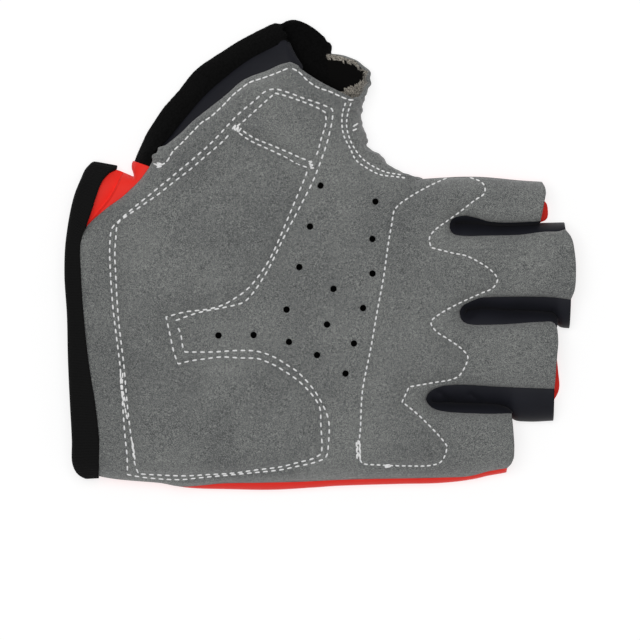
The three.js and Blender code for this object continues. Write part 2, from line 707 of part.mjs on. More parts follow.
// Terry band round the outer side of the thumb
const thumbPoint = ([along, rise], height) => new THREE.Vector3(alongX(along), riseY(rise), height);
function bandRow({ top, side, foot, height }) {
  const sidePoint = thumbPoint(side, sideHeight);
  const footPoint = thumbPoint(foot, 0);
  const turn = Math.min(wallWidth, 0.55 * Math.hypot(footPoint.x - sidePoint.x, footPoint.y - sidePoint.y));
  const inwards = footPoint.clone().sub(sidePoint).setZ(0).setLength(turn);
  const flat = sidePoint.clone().add(inwards).setZ(0);
  const topPoint = thumbPoint(top, bandSeamHeight * height);
  const shoulder = topPoint.clone().lerp(sidePoint, 0.5).setZ(mix(sidePoint.z, topPoint.z, 0.65));
  const corner = sidePoint.clone().lerp(flat, 0.3).setZ(0.25 * sideHeight);
  const round = smoothRun([topPoint, shoulder, sidePoint, corner, flat], thumbCells);
  return [...round, ...smoothRun([flat, footPoint], 2).slice(1)];
}
const bandOuter = bandSections.map(bandRow);
addPiece('thumb_back', sheet(bandOuter, terryWall), materials.terry_black);

// Navy strip between the suede and the terry band
function makeThumbSide() {
  const suedeEdge = smoothRun(
    topEdgeBetween(wristWrapLine + 1, thumbPeakLine).map(([x, y]) => new THREE.Vector3(x, y, thumbSeamHeight)),
    stripCells,
  );
  const bandTops = bandSections.slice(1, 9).map(({ top }) => thumbPoint(top, bandSeamHeight));
  const bandEdge = smoothRun(bandTops, stripCells);
  const rows = suedeEdge.slice(1).map((upper, i) => {
    const lower = bandEdge[i + 1];
    const inset = seatGap / upper.distanceTo(lower);
    return [inset, 0.5, 1 - inset].map((share) => upper.clone().lerp(lower, share));
  });
  return sheet(rows, stretchWall);
}
addPiece('thumb_side', makeThumbSide(), materials.stretch_navy);

// Suede gusset round the far side of the thumb's mouth and down the web to the index finger
function gussetRow({ top, side, low, foot, crest, base }) {
  const topPoint = thumbPoint(top, crest * palmHeight);
  const footPoint = thumbPoint(foot, base * palmHeight);
  const sidePoint = thumbPoint(side, mix(footPoint.z, topPoint.z, 0.5));
  const flat = thumbPoint(low, mix(footPoint.z, sidePoint.z, 0.05));
  const run = smoothRun([topPoint, sidePoint, flat, footPoint], thumbCells);
  return run.map((point) => point.setZ(Math.max(point.z, footPoint.z)));
}
addPiece('crotch_gusset', sheet(gussetSections.map(gussetRow), suedeWall), materials.suede);

// Side walls of two neighbouring fingers, folded from one strip round the root of their slit
function makeFourchette(slit, f) {
  const low = acrossY(slit.low) + seamGap;
  const high = acrossY(slit.high) - seamGap;
  const fold = acrossY(slit.fold);
  const root = alongX(slit.root);
  const shoulder = root + 0.5 * (high - low) + 2 * seamGap;
  const lowMouth = alongX(1) + fingerReach[fingers[f]] - mouthInset;
  const highMouth = alongX(1) + fingerReach[fingers[f + 1]] - mouthInset;
  const steps = [1, 0.75, 0.5, 0.25, 0];
  const turn = [0.25, 0.5, 0.75];
  const upper = [
    ...steps.map((share) => [mix(shoulder, lowMouth, share), low]),
    ...turn.map((share) => [
      mix(root + 2 * seamGap, shoulder, Math.abs(2 * share - 1)),
      mix(low, high, share),
    ]),
    ...[...steps].reverse().map((share) => [mix(shoulder, highMouth, share), high]),
  ];
  const lowerRoot = root + slitHalf + 2 * seamGap;
  const lowerTurn = lowerRoot + stretchWall;
  const lower = [
    ...steps.map((share) => [mix(lowerTurn, lowMouth, share), fold - foldGap]),
    ...turn.map((share) => [
      lowerTurn - stretchWall * Math.sin(Math.PI * share),
      fold - foldGap * Math.cos(Math.PI * share),
    ]),
    ...[...steps].reverse().map((share) => [mix(lowerTurn, highMouth, share), fold + foldGap]),
  ];
  const topHeight = fingerHeight - slitDrop - suedeWall - seamGap;
  const rows = upper.map(([x, y], k) => Array.from({ length: wallCells + 1 }, (_, c) => {
    const angle = (1 - c / wallCells) * (Math.PI / 2);
    return new THREE.Vector3(
      mix(x, lower[k][0], Math.sin(angle)),
      mix(y, lower[k][1], Math.sin(angle)),
      mix(seamGap, topHeight, Math.cos(angle)),
    );
  }));
  return sheet(rows, stretchWall);
}
slits.forEach((slit, f) => {
  const [low, high] = [fingers[f], fingers[f + 1]];
  addPiece(`fourchette_${high}_${low}`, makeFourchette(slit, f), materials.stretch_black);
});

// Ribbed tape folded over the cloth's edge all round the wrist opening
function makeBinding() {
  const suedeRow = suedeOuter[0].map((point, j) => ({
    middle: point.clone().addScaledVector(suedeNormals[0][j], -suedeWall / 2),
    out: suedeNormals[0][j],
    inwards: suedeOuter[1][j].clone().sub(point).normalize(),
  }));
  const backNormals = gridNormals(backOuter, backHasCell).map((row) => row.map((normal) => normal.negate()));
  const backEdge = backOuter[0].map((point, j) => ({
    middle: point.clone().addScaledVector(backNormals[0][j], -stretchWall / 2),
    out: backNormals[0][j],
    inwards: backOuter[1][j].clone().sub(point).normalize(),
  }));
  const loop = [...suedeRow, ...backEdge.reverse()];
  const groove = suedeWall / 2 + seamGap;
  const sections = loop.map(({ middle, out, inwards }) => {
    const width = bindingWidth * valueAt(bindingFlare, 'across', 'share', (middle.y - littleY) / palmWidth);
    const deep = width - bindingWall - seamGap;
    const profile = [
      [deep, groove], [-seamGap, groove], [-seamGap, -groove], [deep, -groove],
      [deep, -groove - bindingWall], [-seamGap, -groove - bindingWall], [-seamGap - bindingWall, -0.5 * groove],
      [-seamGap - bindingWall, 0.5 * groove], [-seamGap, groove + bindingWall], [deep, groove + bindingWall],
    ];
    return profile.map(([along, height]) => (
      middle.clone().addScaledVector(inwards, along).addScaledVector(out, height)));
  });
  const index = [];
  const count = sections[0].length;
  sections.forEach((section, i) => section.forEach((point, j) => {
    const next = ((i + 1) % sections.length) * count;
    const after = (j + 1) % count;
    index.push(i * count + j, next + after, next + j, i * count + j, i * count + after, next + after);
  }));
  const geometry = new THREE.BufferGeometry();
  const positions = sections.flat().flatMap((point) => point.toArray());
  geometry.setAttribute('position', new THREE.Float32BufferAttribute(positions, 3));
  geometry.setIndex(index);
  return geometry;
}
addPiece('cuff_binding', makeBinding(), materials.knit_black);

export default glove;
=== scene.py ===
# The looks of a fingerless cycling glove for the left hand, lying on its back with the palm up.
# Shapes are worked out in millimetres and turned to metres when a piece is made.
import math

import bpy
import numpy as np
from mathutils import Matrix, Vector
from mathutils.geometry import delaunay_2d_cdt
from mathutils.kdtree import KDTree


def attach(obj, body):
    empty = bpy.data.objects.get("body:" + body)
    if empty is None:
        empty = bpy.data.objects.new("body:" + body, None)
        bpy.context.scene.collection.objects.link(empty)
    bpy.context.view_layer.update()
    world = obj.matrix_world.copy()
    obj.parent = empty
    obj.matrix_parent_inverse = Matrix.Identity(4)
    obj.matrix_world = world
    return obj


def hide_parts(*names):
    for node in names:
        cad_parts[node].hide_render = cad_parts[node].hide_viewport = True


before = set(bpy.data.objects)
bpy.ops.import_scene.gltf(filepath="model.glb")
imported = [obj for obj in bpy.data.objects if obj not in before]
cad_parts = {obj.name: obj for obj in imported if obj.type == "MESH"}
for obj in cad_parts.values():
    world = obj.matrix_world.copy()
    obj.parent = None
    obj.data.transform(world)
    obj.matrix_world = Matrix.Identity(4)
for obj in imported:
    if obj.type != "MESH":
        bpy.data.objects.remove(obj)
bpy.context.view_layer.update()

MM = 0.001

# Places on the glove are read in the square photograph, which looks straight down on the palm.
# PIXEL is a pixel's size in millimetres, and the glove's origin lies at PHOTO_ORIGIN.
PHOTO_SIZE = 640
PIXEL = 1 / 3
PHOTO_ORIGIN = (320, 254)

# Walls and heights of the lying glove
SUEDE_WALL = 1.4
LYCRA_WALL = 1.1
TERRY_WALL = 1.5
GROUND_GAP = 0.03
PALM_HEIGHT = 16
CUFF_HEIGHT = 14
FINGER_HEIGHT = 14.5
SEAM_HEIGHT = 7.5
THUMB_SEAM_HEIGHT = 12
SIDE_HEIGHT = 4.2
PAD_RISE = 1.5
VENT_RADIUS = 1.1

# Relief of the suede: grooves and puckers beside the stitches, and broad waves all over
GROOVE_DEPTH = 0.75
GROOVE_REACH = 0.85
PUCKER_DEPTH = 0.14
PUCKER_REACH = 1.6
LONG_WAVE = 0.22
SHORT_WAVE = 0.16

# Thread of the seams, and for each group of rows the pitch and the length of a stitch
THREAD_RADIUS = 0.29
STITCHES = {
    "heel_pad": (2.7, 1.75),
    "thumb_pad": (2.4, 1.6),
    "knuckle_pad": (2.1, 1.4),
    "thumb_hem": (2.4, 2.0),
    "thumb_rim": (2.4, 2.0),
    "web": (1.85, 1.15),
    "overstitched": (2.0, 1.75),
}

# Outline of the suede palm, run by run, round the hand from the cuff along the little finger's side
LITTLE_SIDE = [
    (86, 473), (98, 477), (115, 480), (140, 482.3), (160, 484), (180, 487.5), (200, 486.4), (221, 484.3),
    (260, 483.6), (300, 482.6), (350, 480.3), (440, 478.5), (470, 477), (490, 472), (508, 469),
]
LITTLE_MOUTH = [(508, 469), (512.5, 463), (514.5, 450), (513.5, 430), (512, 413.5)]
RING_LITTLE_LOW = [(512, 413.5), (490, 414), (460, 413), (447, 412), (437, 410), (430, 406), (426, 400)]
RING_LITTLE_HIGH = [(426, 400), (428, 394.5), (433, 390), (442, 386.5), (460, 385), (500, 387), (555, 389)]
RING_MOUTH = [(555, 389), (556, 375), (557.5, 355), (558.5, 343), (558, 329)]
MIDDLE_RING_LOW = [
    (558, 329), (554, 322.5), (540, 322), (500, 324.5), (467, 323.5), (461.5, 319), (460, 312),
]
MIDDLE_RING_HIGH = [
    (460, 312), (463, 306), (472, 301), (481, 297.7), (495, 297), (550, 297), (571.5, 299.5),
]
MIDDLE_MOUTH = [(571.5, 299.5), (575, 290), (576.3, 270), (575, 252), (572, 238), (566, 229)]
INDEX_MIDDLE_LOW = [
    (566, 229), (559, 231), (545, 231.5), (520, 234.5), (490, 235.3), (462, 235.5), (453, 233), (450, 228),
]
INDEX_MIDDLE_HIGH = [
    (450, 228), (451, 221), (456, 217), (465, 215.5), (478, 218), (488, 221), (505, 222.4), (541, 221),
]
INDEX_MOUTH = [(541, 221), (543.5, 208), (545.5, 196), (546, 188), (543, 181)]
INDEX_SIDE = [(543, 181), (520, 179.5), (500, 177.5), (480, 176), (460, 176), (440, 177), (418, 178.5)]
WEB_SEAM = [
    (418, 178.5), (390, 169.5), (370, 160.5), (358, 148), (350, 130), (349.5, 120), (351, 110), (354, 99),
]
THUMB_RIM = [
    (354, 99), (347, 95), (333, 88), (325, 84), (318, 80), (310, 75), (303, 70), (293, 62.5), (290, 61.3),
]
THUMB_SEAM = [
    (290, 61.3), (280, 64), (264.4, 71), (251, 75.6), (240, 81.7), (225.6, 94.4), (204.4, 111),
    (192, 121), (182, 131), (172, 139.4), (164.4, 145), (158, 147), (156.7, 152), (151.5, 155),
    (152, 160), (148, 168),
]
WRIST_SEAM = [(148, 168), (140, 179), (128, 191), (120, 198), (110, 205), (100, 213), (90, 222), (84, 229)]
CUFF_EDGE = [(84, 229), (78, 243), (76, 265), (76.5, 290), (79, 340), (82, 400), (83, 440), (86, 473)]

# Centres of the vent holes
VENTS = [
    (320.5, 185.5), (375.5, 201.5), (310, 226.5), (372.5, 239), (299.3, 267), (372.5, 273.5),
    (333.5, 289), (286.5, 309.5), (363, 308), (327, 324.5), (218.5, 335.5), (253.5, 335), (289, 342),
    (354, 343.5), (317, 355), (345.6, 373.6),
]

# Rows of stitches, each a chain of smooth stretches that meet in corners
HEEL_OUTER = [
    [(173, 321.4), (198, 312.8), (224, 307.5), (235, 305), (244, 302), (251.8, 294.4), (267, 271.5),
     (283, 239), (304, 199), (313, 181), (326, 146), (329.5, 133), (332.5, 118), (332.5, 110), (331, 108)],
    [(331, 108), (317, 102.5), (303, 98), (290, 93), (276, 89), (270, 89.5), (265, 91.5), (254, 101),
     (239, 113.5), (213, 141), (197, 155.5), (161, 185.5), (129, 211.5), (118, 221.5), (112, 228),
     (109.7, 243), (110, 268), (112.5, 304), (116, 334), (120, 367), (123, 412), (125, 437), (127, 457),
     (127, 475)],
    [(127, 475), (145, 478), (178, 480), (200, 478), (252, 473), (280, 470), (297, 466.5), (313, 463),
     (324.5, 459)],
    [(324.5, 459), (327, 455), (328.5, 444), (329, 423), (326, 412), (314, 390), (297, 371.5), (287, 365),
     (275, 357.5), (258, 351.5), (240, 350.5), (212, 352), (185, 352)],
    [(185, 352), (183, 348), (180, 332), (173, 321.4)],
]
HEEL_INNER = [
    [(308, 169), (304, 180), (297.5, 195), (288, 218), (268.7, 260.8), (251.8, 284.5), (242.7, 293),
     (233.5, 299), (224, 304.4), (209, 309), (184.5, 312), (166, 317)],
    [(166, 317), (170, 335), (174, 353), (178, 364)],
    [(178, 364), (190, 361), (204, 359), (222, 357), (240, 358), (257, 358.5), (262, 360), (273, 364.5),
     (285, 371.5), (296, 379), (305, 387), (313, 396), (319.5, 407), (321, 428), (322, 445), (321.5, 454)],
    [(321.5, 454), (312, 459), (300, 462), (280, 467), (256, 470), (235, 473), (205, 475), (185, 476),
     (158, 475.2), (138, 474)],
    [(138, 474), (134.5, 463), (131.5, 440), (128.5, 417), (126, 392), (124, 368), (118, 315),
     (115.5, 272), (114.7, 255), (115.5, 241), (118, 223), (125, 217), (140.5, 206.5), (158.5, 194),
     (175, 181), (190, 169.5), (205, 156.5), (221, 143), (230, 133.5)],
]
THUMB_PAD_INNER = [
    [(235, 127.5), (243, 121.5), (257, 109), (267, 100), (275, 93)],
    [(275, 93), (283, 95), (298, 100), (316, 107), (325, 112)],
    [(325, 112), (326, 118), (325.5, 125), (321, 139), (318, 151), (314, 160)],
]
THUMB_PAD_DIVIDE = [
    [[(241, 129.5), (254, 138), (271, 145), (290, 153), (304, 159), (311, 160.5)]],
    [[(237, 131.5), (250, 140.5), (265, 147.5), (285, 157), (297, 164), (308, 167.5)]],
]
KNUCKLE_ROW = [
    [(449, 176.8), (434, 183.5), (417, 192.5), (402, 202)],
    [(402, 202), (394.5, 210), (392, 223), (388.5, 243), (383.5, 278), (377.5, 310), (370.5, 350),
     (362.5, 391), (360.5, 428), (359.5, 440), (360, 460)],
    [(360, 460), (363, 463.5), (378, 465), (405, 466), (431, 465.5), (441, 462), (446, 453), (447, 446)],
    [(447, 446), (441, 438), (420, 416.5), (410, 408), (402, 402)],
    [(402, 402), (405, 396), (409, 387)],
    [(409, 387), (420, 385), (438, 382), (450, 380), (459, 376), (465, 367), (468, 357), (463, 350),
     (448, 339), (437, 332), (431.5, 325), (431.5, 321), (437, 316), (450, 308), (464, 301), (482, 293),
     (493, 288), (497.5, 281), (497, 277), (489, 268.5), (467, 256), (453, 253), (431, 247.5)],
    [(431, 247.5), (429.5, 238), (434, 231), (447, 221), (461, 211), (475, 200), (484, 194), (485.5, 189),
     (484, 184), (480, 180.5), (470, 176.8)],
]
THUMB_HEM = [
    [(151, 162), (158, 165), (163, 164), (167, 161), (173, 151), (180, 144.5), (194, 130), (202, 122),
     (210, 117), (220, 108), (226, 102), (232, 95.5), (240, 89), (250, 82), (262, 78), (277, 72.5),
     (290, 67)],
]
THUMB_RIM_HEM = [
    [(290, 67), (299, 72), (307, 80), (317, 87), (330, 91.5), (341, 96.5), (349, 99.5), (354, 99.5)],
]
WEB_ROWS = [
    [[(346, 101), (342.5, 113), (342, 125), (344, 136), (350, 148), (356, 160), (367, 168), (380, 174.5),
      (395, 176.5), (408, 178)]],
    [[(351.5, 101), (348, 112), (346.5, 125), (349.5, 138), (355, 149), (362, 158), (372, 165.5),
      (386, 172), (400, 174.5), (405, 176)]],
]


def plan(places):
    """Places in the photograph as millimetres on the glove."""
    return (np.array(places, float) - PHOTO_ORIGIN) * (PIXEL, -PIXEL)


def plan_heights(places):
    """Places in the photograph with heights in millimetres, as points on the glove."""
    places = np.array(places, float)
    return np.hstack([plan(places[:, :2]), places[:, 2:]])


def table(columns, *rows):
    """Rows of values under the names of their columns."""
    return [dict(zip(columns.split(), row)) for row in rows]


def blend(start, end, share):
    """What lies a share of the way from start to end."""
    return start * (1 - share) + end * share


CURVE_SAMPLES = 24


def curve(points, step, closed=False):
    """Evenly spaced points on the smooth curve through a few, ends included."""
    points = np.asarray(points, float)
    if closed:
        padded = np.vstack([points[-1:], points, points[:2]])
    else:
        padded = np.vstack([2 * points[0] - points[1], points, 2 * points[-1] - points[-2]])
    knots = np.concatenate([[0], np.cumsum(np.sqrt(np.linalg.norm(np.diff(padded, axis=0), axis=1)))])
    dense = []
    for k in range(1, len(padded) - 2):
        p0, p1, p2, p3 = padded[k - 1:k + 3]
        t0, t1, t2, t3 = knots[k - 1:k + 3]
        t = np.linspace(t1, t2, CURVE_SAMPLES, endpoint=False)[:, None]
        a1 = (t1 - t) / (t1 - t0) * p0 + (t - t0) / (t1 - t0) * p1
        a2 = (t2 - t) / (t2 - t1) * p1 + (t - t1) / (t2 - t1) * p2
        a3 = (t3 - t) / (t3 - t2) * p2 + (t - t2) / (t3 - t2) * p3
        b1 = (t2 - t) / (t2 - t0) * a1 + (t - t0) / (t2 - t0) * a2
        b2 = (t3 - t) / (t3 - t1) * a2 + (t - t1) / (t3 - t1) * a3
        dense.append((t2 - t) / (t2 - t1) * b1 + (t - t1) / (t2 - t1) * b2)
    dense = np.vstack(dense + [padded[-2:-1]])
    return evenly(dense, max(2, round(length_of(dense) / step) + 1))


def length_of(line):
    return float(np.linalg.norm(np.diff(line, axis=0), axis=1).sum())


def evenly(line, count):
    """A line of points again with count evenly spaced ones."""
    run = np.concatenate([[0], np.cumsum(np.linalg.norm(np.diff(line, axis=0), axis=1))])
    at = np.linspace(0, run[-1], count)
    return np.stack([np.interp(at, run, line[:, k]) for k in range(line.shape[1])], axis=1)


def chain(stretches, step):
    """Smooth stretches that meet in corners, as one line of points in millimetres."""
    parts = [curve(plan(stretch), step) for stretch in stretches]
    return np.vstack([part[:-1] for part in parts] + [parts[-1][-1:]])


def smoothstep(low, high, x):
    t = np.clip((x - low) / (high - low), 0, 1)
    return t * t * (3 - 2 * t)


def distance_to(line, points):
    """Distance of each point to a line of points."""
    a, b = line[:-1], line[1:]
    along = b - a
    size = np.maximum((along ** 2).sum(1), 1e-12)
    nearest = np.empty(len(points))
    batch = 4000
    for k in range(0, len(points), batch):
        part = points[k:k + batch, None, :2]
        t = np.clip(((part - a) * along).sum(2) / size, 0, 1)
        nearest[k:k + batch] = np.sqrt((((part - a) - t[..., None] * along) ** 2).sum(2).min(1))
    return nearest


def inside(outline, points):
    """Which points lie inside a closed outline."""
    x, y = points[:, 0], points[:, 1]
    found = np.zeros(len(points), bool)
    for (ax, ay), (bx, by) in zip(outline, np.roll(outline, -1, axis=0)):
        if ay != by:
            found ^= ((ay > y) != (by > y)) & (x < ax + (y - ay) / (by - ay) * (bx - ax))
    return found


# Colours and finishes
def linear(colour):
    """An sRGB hex colour as linear red, green, blue and alpha."""
    parts = [int(colour[k:k + 2], 16) / 255 for k in (1, 3, 5)]
    return (*[c / 12.92 if c <= 0.04045 else ((c + 0.055) / 1.055) ** 2.4 for c in parts], 1.0)


def per_size(size_mm):
    """Scale of a pattern whose features are size_mm across, in metres of object space."""
    return 1 / (size_mm * MM)


def add(tree, kind, inputs=None, **settings):
    """Adds a node with its settings; inputs holds values or the outputs of other nodes."""
    node = tree.nodes.new(kind)
    for name, value in settings.items():
        setattr(node, name, value)
    for name, value in (inputs or {}).items():
        if isinstance(value, bpy.types.NodeSocket):
            tree.links.new(value, node.inputs[name])
        else:
            node.inputs[name].default_value = value
    return node


def new_finish(name, constants):
    """A material with its constants set on the shader, and the place that its patterns follow."""
    material = bpy.data.materials.new(name)
    material.use_nodes = True
    tree = material.node_tree
    shader = tree.nodes["Principled BSDF"]
    for key, value in constants.items():
        shader.inputs[key].default_value = value
    return material, tree, shader, add(tree, "ShaderNodeTexCoord").outputs["Object"]


def colour_and_relief(tree, shader, colour, height, depth, strength, **settings):
    """Joins a colour, and a height as relief of a depth in millimetres, to a shader."""
    relief = add(tree, "ShaderNodeBump", {"Height": height, "Distance": depth * MM, "Strength": strength},
                 **settings)
    tree.links.new(colour, shader.inputs["Base Color"])
    tree.links.new(relief.outputs["Normal"], shader.inputs["Normal"])


# Sizes of the patterns in millimetres, and the factor by which a wave texture multiplies its scale
SUEDE_CLUMP_GRAINS = 3.5
SUEDE_CLOUD = 22
SUEDE_RAMP = (0.40, 0.60)
KNIT_DRIFT = 9
TERRY_LOOP = 0.8
WAVE_FACTOR = 20


def brushed_suede(name, dark, middle, light, grain, nap_depth):
    """Split leather with a brushed nap: a heather of dark and light fibres that never shines."""
    material, tree, shader, where = new_finish(name, {
        "Roughness": 0.95, "Specular IOR Level": 0.15, "Sheen Weight": 0.25, "Sheen Roughness": 0.6})
    layers = table(
        "size detail roughness share",
        (grain, 3, 0.7, 0.76),
        (SUEDE_CLUMP_GRAINS * grain, 2, 0.5, 0.14),
        (SUEDE_CLOUD, 2, 0.5, 0.10),
    )
    noises = [add(tree, "ShaderNodeTexNoise", {
        "Vector": where, "Scale": per_size(layer["size"]), "Detail": layer["detail"],
        "Roughness": layer["roughness"]}).outputs["Fac"] for layer in layers]
    tone = 0.0
    for noise, layer in zip(noises, layers):
        tone = add(tree, "ShaderNodeMath", {0: noise, 1: layer["share"], 2: tone},
                   operation="MULTIPLY_ADD").outputs[0]
    ramp = add(tree, "ShaderNodeValToRGB", {"Fac": tone})
    for stop, position, colour in zip(ramp.color_ramp.elements, SUEDE_RAMP, (dark, light)):
        stop.position = position
        stop.color = linear(colour)
    ramp.color_ramp.elements.new(0.5).color = linear(middle)
    colour_and_relief(tree, shader, ramp.outputs["Color"], noises[0], nap_depth, 0.6)
    return material


def stretch_knit(name, colour, shade, loop, sheen):
    """Polyamide and elastane tricot: fine wales along the hand and a soft satin sheen."""
    material, tree, shader, where = new_finish(name, {
        "Roughness": 0.62, "Specular IOR Level": 0.2, "Sheen Weight": sheen, "Sheen Roughness": 0.4})
    scale = per_size(loop) / WAVE_FACTOR
    wales, courses = [add(tree, "ShaderNodeTexWave", {"Vector": where, "Scale": scale, "Distortion": 0.6},
                          bands_direction=direction).outputs["Fac"] for direction in ("Y", "X")]
    knit = add(tree, "ShaderNodeMath", {0: wales, 1: courses}, operation="MULTIPLY").outputs[0]
    drift = add(tree, "ShaderNodeTexNoise", {"Vector": where, "Scale": per_size(KNIT_DRIFT), "Detail": 3})
    tone = add(tree, "ShaderNodeMix", {0: drift.outputs["Fac"], 6: linear(shade), 7: linear(colour)},
               data_type="RGBA")
    colour_and_relief(tree, shader, tone.outputs[2], knit, 0.05, 0.4)
    return material


def looped_terry(name, colour, shade):
    """Cotton terry towelling: matt black loops that swallow the light."""
    material, tree, shader, where = new_finish(name, {
        "Roughness": 1.0, "Specular IOR Level": 0.04, "Sheen Weight": 0.01, "Sheen Roughness": 0.8})
    loops = add(tree, "ShaderNodeTexVoronoi", {"Vector": where, "Scale": per_size(TERRY_LOOP)},
                feature="F1").outputs["Distance"]
    tone = add(tree, "ShaderNodeMix", {0: loops, 6: linear(colour), 7: linear(shade)}, data_type="RGBA")
    colour_and_relief(tree, shader, tone.outputs[2], loops, 0.3, 0.6, invert=True)
    return material


def plain_matt(name, colour, shade, grain, depth, roughness):
    """A matt fibre or foam surface with a fine grain."""
    material, tree, shader, where = new_finish(name, {"Roughness": roughness, "Specular IOR Level": 0.15})
    noise = add(tree, "ShaderNodeTexNoise", {"Vector": where, "Scale": per_size(grain), "Detail": 3})
    noise = noise.outputs["Fac"]
    tone = add(tree, "ShaderNodeMix", {0: noise, 6: linear(shade), 7: linear(colour)}, data_type="RGBA")
    colour_and_relief(tree, shader, tone.outputs[2], noise, depth, 0.5)
    return material


FINISH = {
    # Brushed suede of the palm: a soft grey heather without any shine
    "suede": brushed_suede("grey_brushed_suede", "#424444", "#6d6f6f", "#999b97", 0.27, 0.10),
    # The suede's wrong side at the thumb's mouth: coarse pale fuzz on grey brown
    "wrong_side": brushed_suede("fuzzy_suede_wrong_side", "#3d3934", "#817c74", "#bdb7aa", 0.5, 0.3),
    # Red stretch cloth of the back: a bright, clean edge beside the grey
    "lycra_red": stretch_knit("red_polyamide_lycra", "#ff3428", "#f22a20", 0.5, 0.1),
    # Painted shade: the red cloth's inner face in near-black, which keeps the wrist's mouth dark
    "lycra_painted_shade": stretch_knit("black_lycra_painted_shade", "#141414", "#0d0d0d", 0.5, 0.0),
    # Navy stretch cloth beside the thumb: a dark blue that just parts from the terry
    "lycra_navy": stretch_knit("navy_polyamide_lycra", "#1b1c24", "#14151b", 0.4, 0.02),
    # Black stretch cloth between the fingers: a smooth, bluish black
    "lycra_black": stretch_knit("black_polyamide_lycra", "#1f2028", "#17181e", 0.4, 0.03),
    # Elastic knit of the cuff tape: flat black, with its ribs as real relief
    "knit": plain_matt("black_elastic_knit", "#161616", "#0b0b0b", 0.4, 0.06, 0.9),
    # Painted shade deep in the thumb's mouth: a near-black finish that gives back almost no light
    "gusset_painted_shade": plain_matt("dark_painted_shade_inside", "#0b0a09", "#050505", 0.5, 0.2, 1.0),
    # Cotton terry of the thumb band: the deepest black, with a broken surface
    "terry": looped_terry("black_cotton_terry", "#0e0e0e", "#060606"),
    # Open foam of the pads under the suede: plain matt grey
    "foam": plain_matt("grey_polyurethane_foam", "#5c5f61", "#45484a", 0.7, 0.2, 0.95),
    # Polyester thread of the seams: crisp white dashes
    "thread": plain_matt("white_polyester_thread", "#ffffff", "#efefef", 0.3, 0.05, 0.6),
}


# Meshes
def new_object(name, data):
    """An object in the scene."""
    made = bpy.data.objects.new(name, data)
    bpy.context.scene.collection.objects.link(made)
    return made


def make_piece(name, points, faces, finishes, finish_of_face=None):
    """An object from points in millimetres and arrays of faces."""
    mesh = bpy.data.meshes.new(name)
    rows = [row for part in faces for row in part.tolist()]
    mesh.from_pydata((np.asarray(points) * MM).tolist(), [], rows)
    for finish in finishes:
        mesh.materials.append(FINISH[finish])
    if finish_of_face is not None:
        mesh.polygons.foreach_set("material_index", np.concatenate(finish_of_face).astype(np.int32))
    mesh.polygons.foreach_set("use_smooth", np.ones(len(mesh.polygons), bool))
    mesh.update()
    return new_object(name, mesh)


def vertex_normals(points, faces):
    a, b, c = (points[faces[:, k]] for k in range(3))
    d = points[faces[:, -1]]
    each = np.cross(c - a, d - b) if faces.shape[1] == 4 else np.cross(b - a, c - a)
    normals = np.zeros_like(points)
    for k in range(faces.shape[1]):
        np.add.at(normals, faces[:, k], each)
    return normals / np.maximum(np.linalg.norm(normals, axis=1), 1e-12)[:, None]


def free_edges(faces, count):
    """Edges that only one face uses, in that face's direction."""
    ends = [(faces[:, k], np.roll(faces, -1, 1)[:, k]) for k in range(faces.shape[1])]
    edges = np.concatenate([np.stack(pair, 1) for pair in ends])
    code = edges[:, 0].astype(np.int64) * count + edges[:, 1]
    reverse = edges[:, 1].astype(np.int64) * count + edges[:, 0]
    return edges[~np.isin(reverse, code)]


def make_sheet(name, points, faces, wall, finishes):
    """A closed sheet of cloth: its outer face, a layer underneath and walls along its free edges."""
    points = np.asarray(points, float)
    count = len(points)
    under = points - vertex_normals(points, faces) * wall
    points[:, 2] = np.maximum(points[:, 2], GROUND_GAP)
    under[:, 2] = np.maximum(under[:, 2], GROUND_GAP)
    edge = free_edges(faces, count)
    walls = np.stack([edge[:, 1], edge[:, 0], edge[:, 0] + count, edge[:, 1] + count], 1)
    parts = [faces, faces[:, ::-1] + count, walls]
    inner = min(1, len(finishes) - 1)
    marks = [np.zeros(len(faces)), np.full(len(faces), inner), np.zeros(len(walls))]
    return make_piece(name, np.vstack([points, under]), parts, finishes, marks)


def grid_faces(rows, columns):
    """Quads of a grid of points."""
    i, j = np.meshgrid(np.arange(rows - 1), np.arange(columns - 1), indexing="ij")
    a = (i * columns + j).ravel()
    return np.stack([a, a + columns, a + columns + 1, a + 1], 1)


def grid_sheet(name, grid, wall, finishes):
    """A closed sheet of cloth whose outer face is a grid of points."""
    return make_sheet(name, grid.reshape(-1, 3), grid_faces(*grid.shape[:2]), wall, finishes)


def surface_through(sections, rows, columns):
    """A fine grid of points through a coarse one: smooth along each section and from one to the next."""
    step = 0.3
    across = np.array([evenly(curve(section, step), columns) for section in sections])
    return np.stack([evenly(curve(across[:, k], step), rows) for k in range(columns)], axis=1)


def raised(grid, height):
    """A grid with each point moved along its normal by its own height."""
    points = grid.reshape(-1, 3)
    normals = vertex_normals(points, grid_faces(*grid.shape[:2]))
    return (points + normals * height[:, None]).reshape(grid.shape)


def change_finishes(piece, choose):
    """Lets choose give each face another of the piece's finishes, from its centre and its finish so far."""
    faces = piece.data.polygons
    centres = np.array([face.center for face in faces]) / MM
    marks = choose(centres, np.array([face.material_index for face in faces]))
    faces.foreach_set("material_index", marks.astype(np.int32))


def fill_plan(loops, points):
    """Triangles that fill the first loop, leave the other loops open and use all the points."""
    coords = [Vector(p) for loop in loops for p in loop]
    starts = np.cumsum([0] + [len(loop) for loop in loops])
    rings = [list(range(starts[k], starts[k + 1])) for k in range(len(loops))]
    coords += [Vector(p) for p in points]
    found = delaunay_2d_cdt(coords, [], rings, 1, 1e-4)
    flat = np.array([(v.x, v.y) for v in found[0]])
    triangles = np.array([f for f, own in zip(found[2], found[5]) if list(own) == [0]])
    a, b, c = (flat[triangles[:, k]] for k in range(3))
    backwards = (b - a)[:, 0] * (c - a)[:, 1] - (b - a)[:, 1] * (c - a)[:, 0] < 0
    triangles[backwards] = triangles[backwards][:, ::-1]
    return flat, triangles


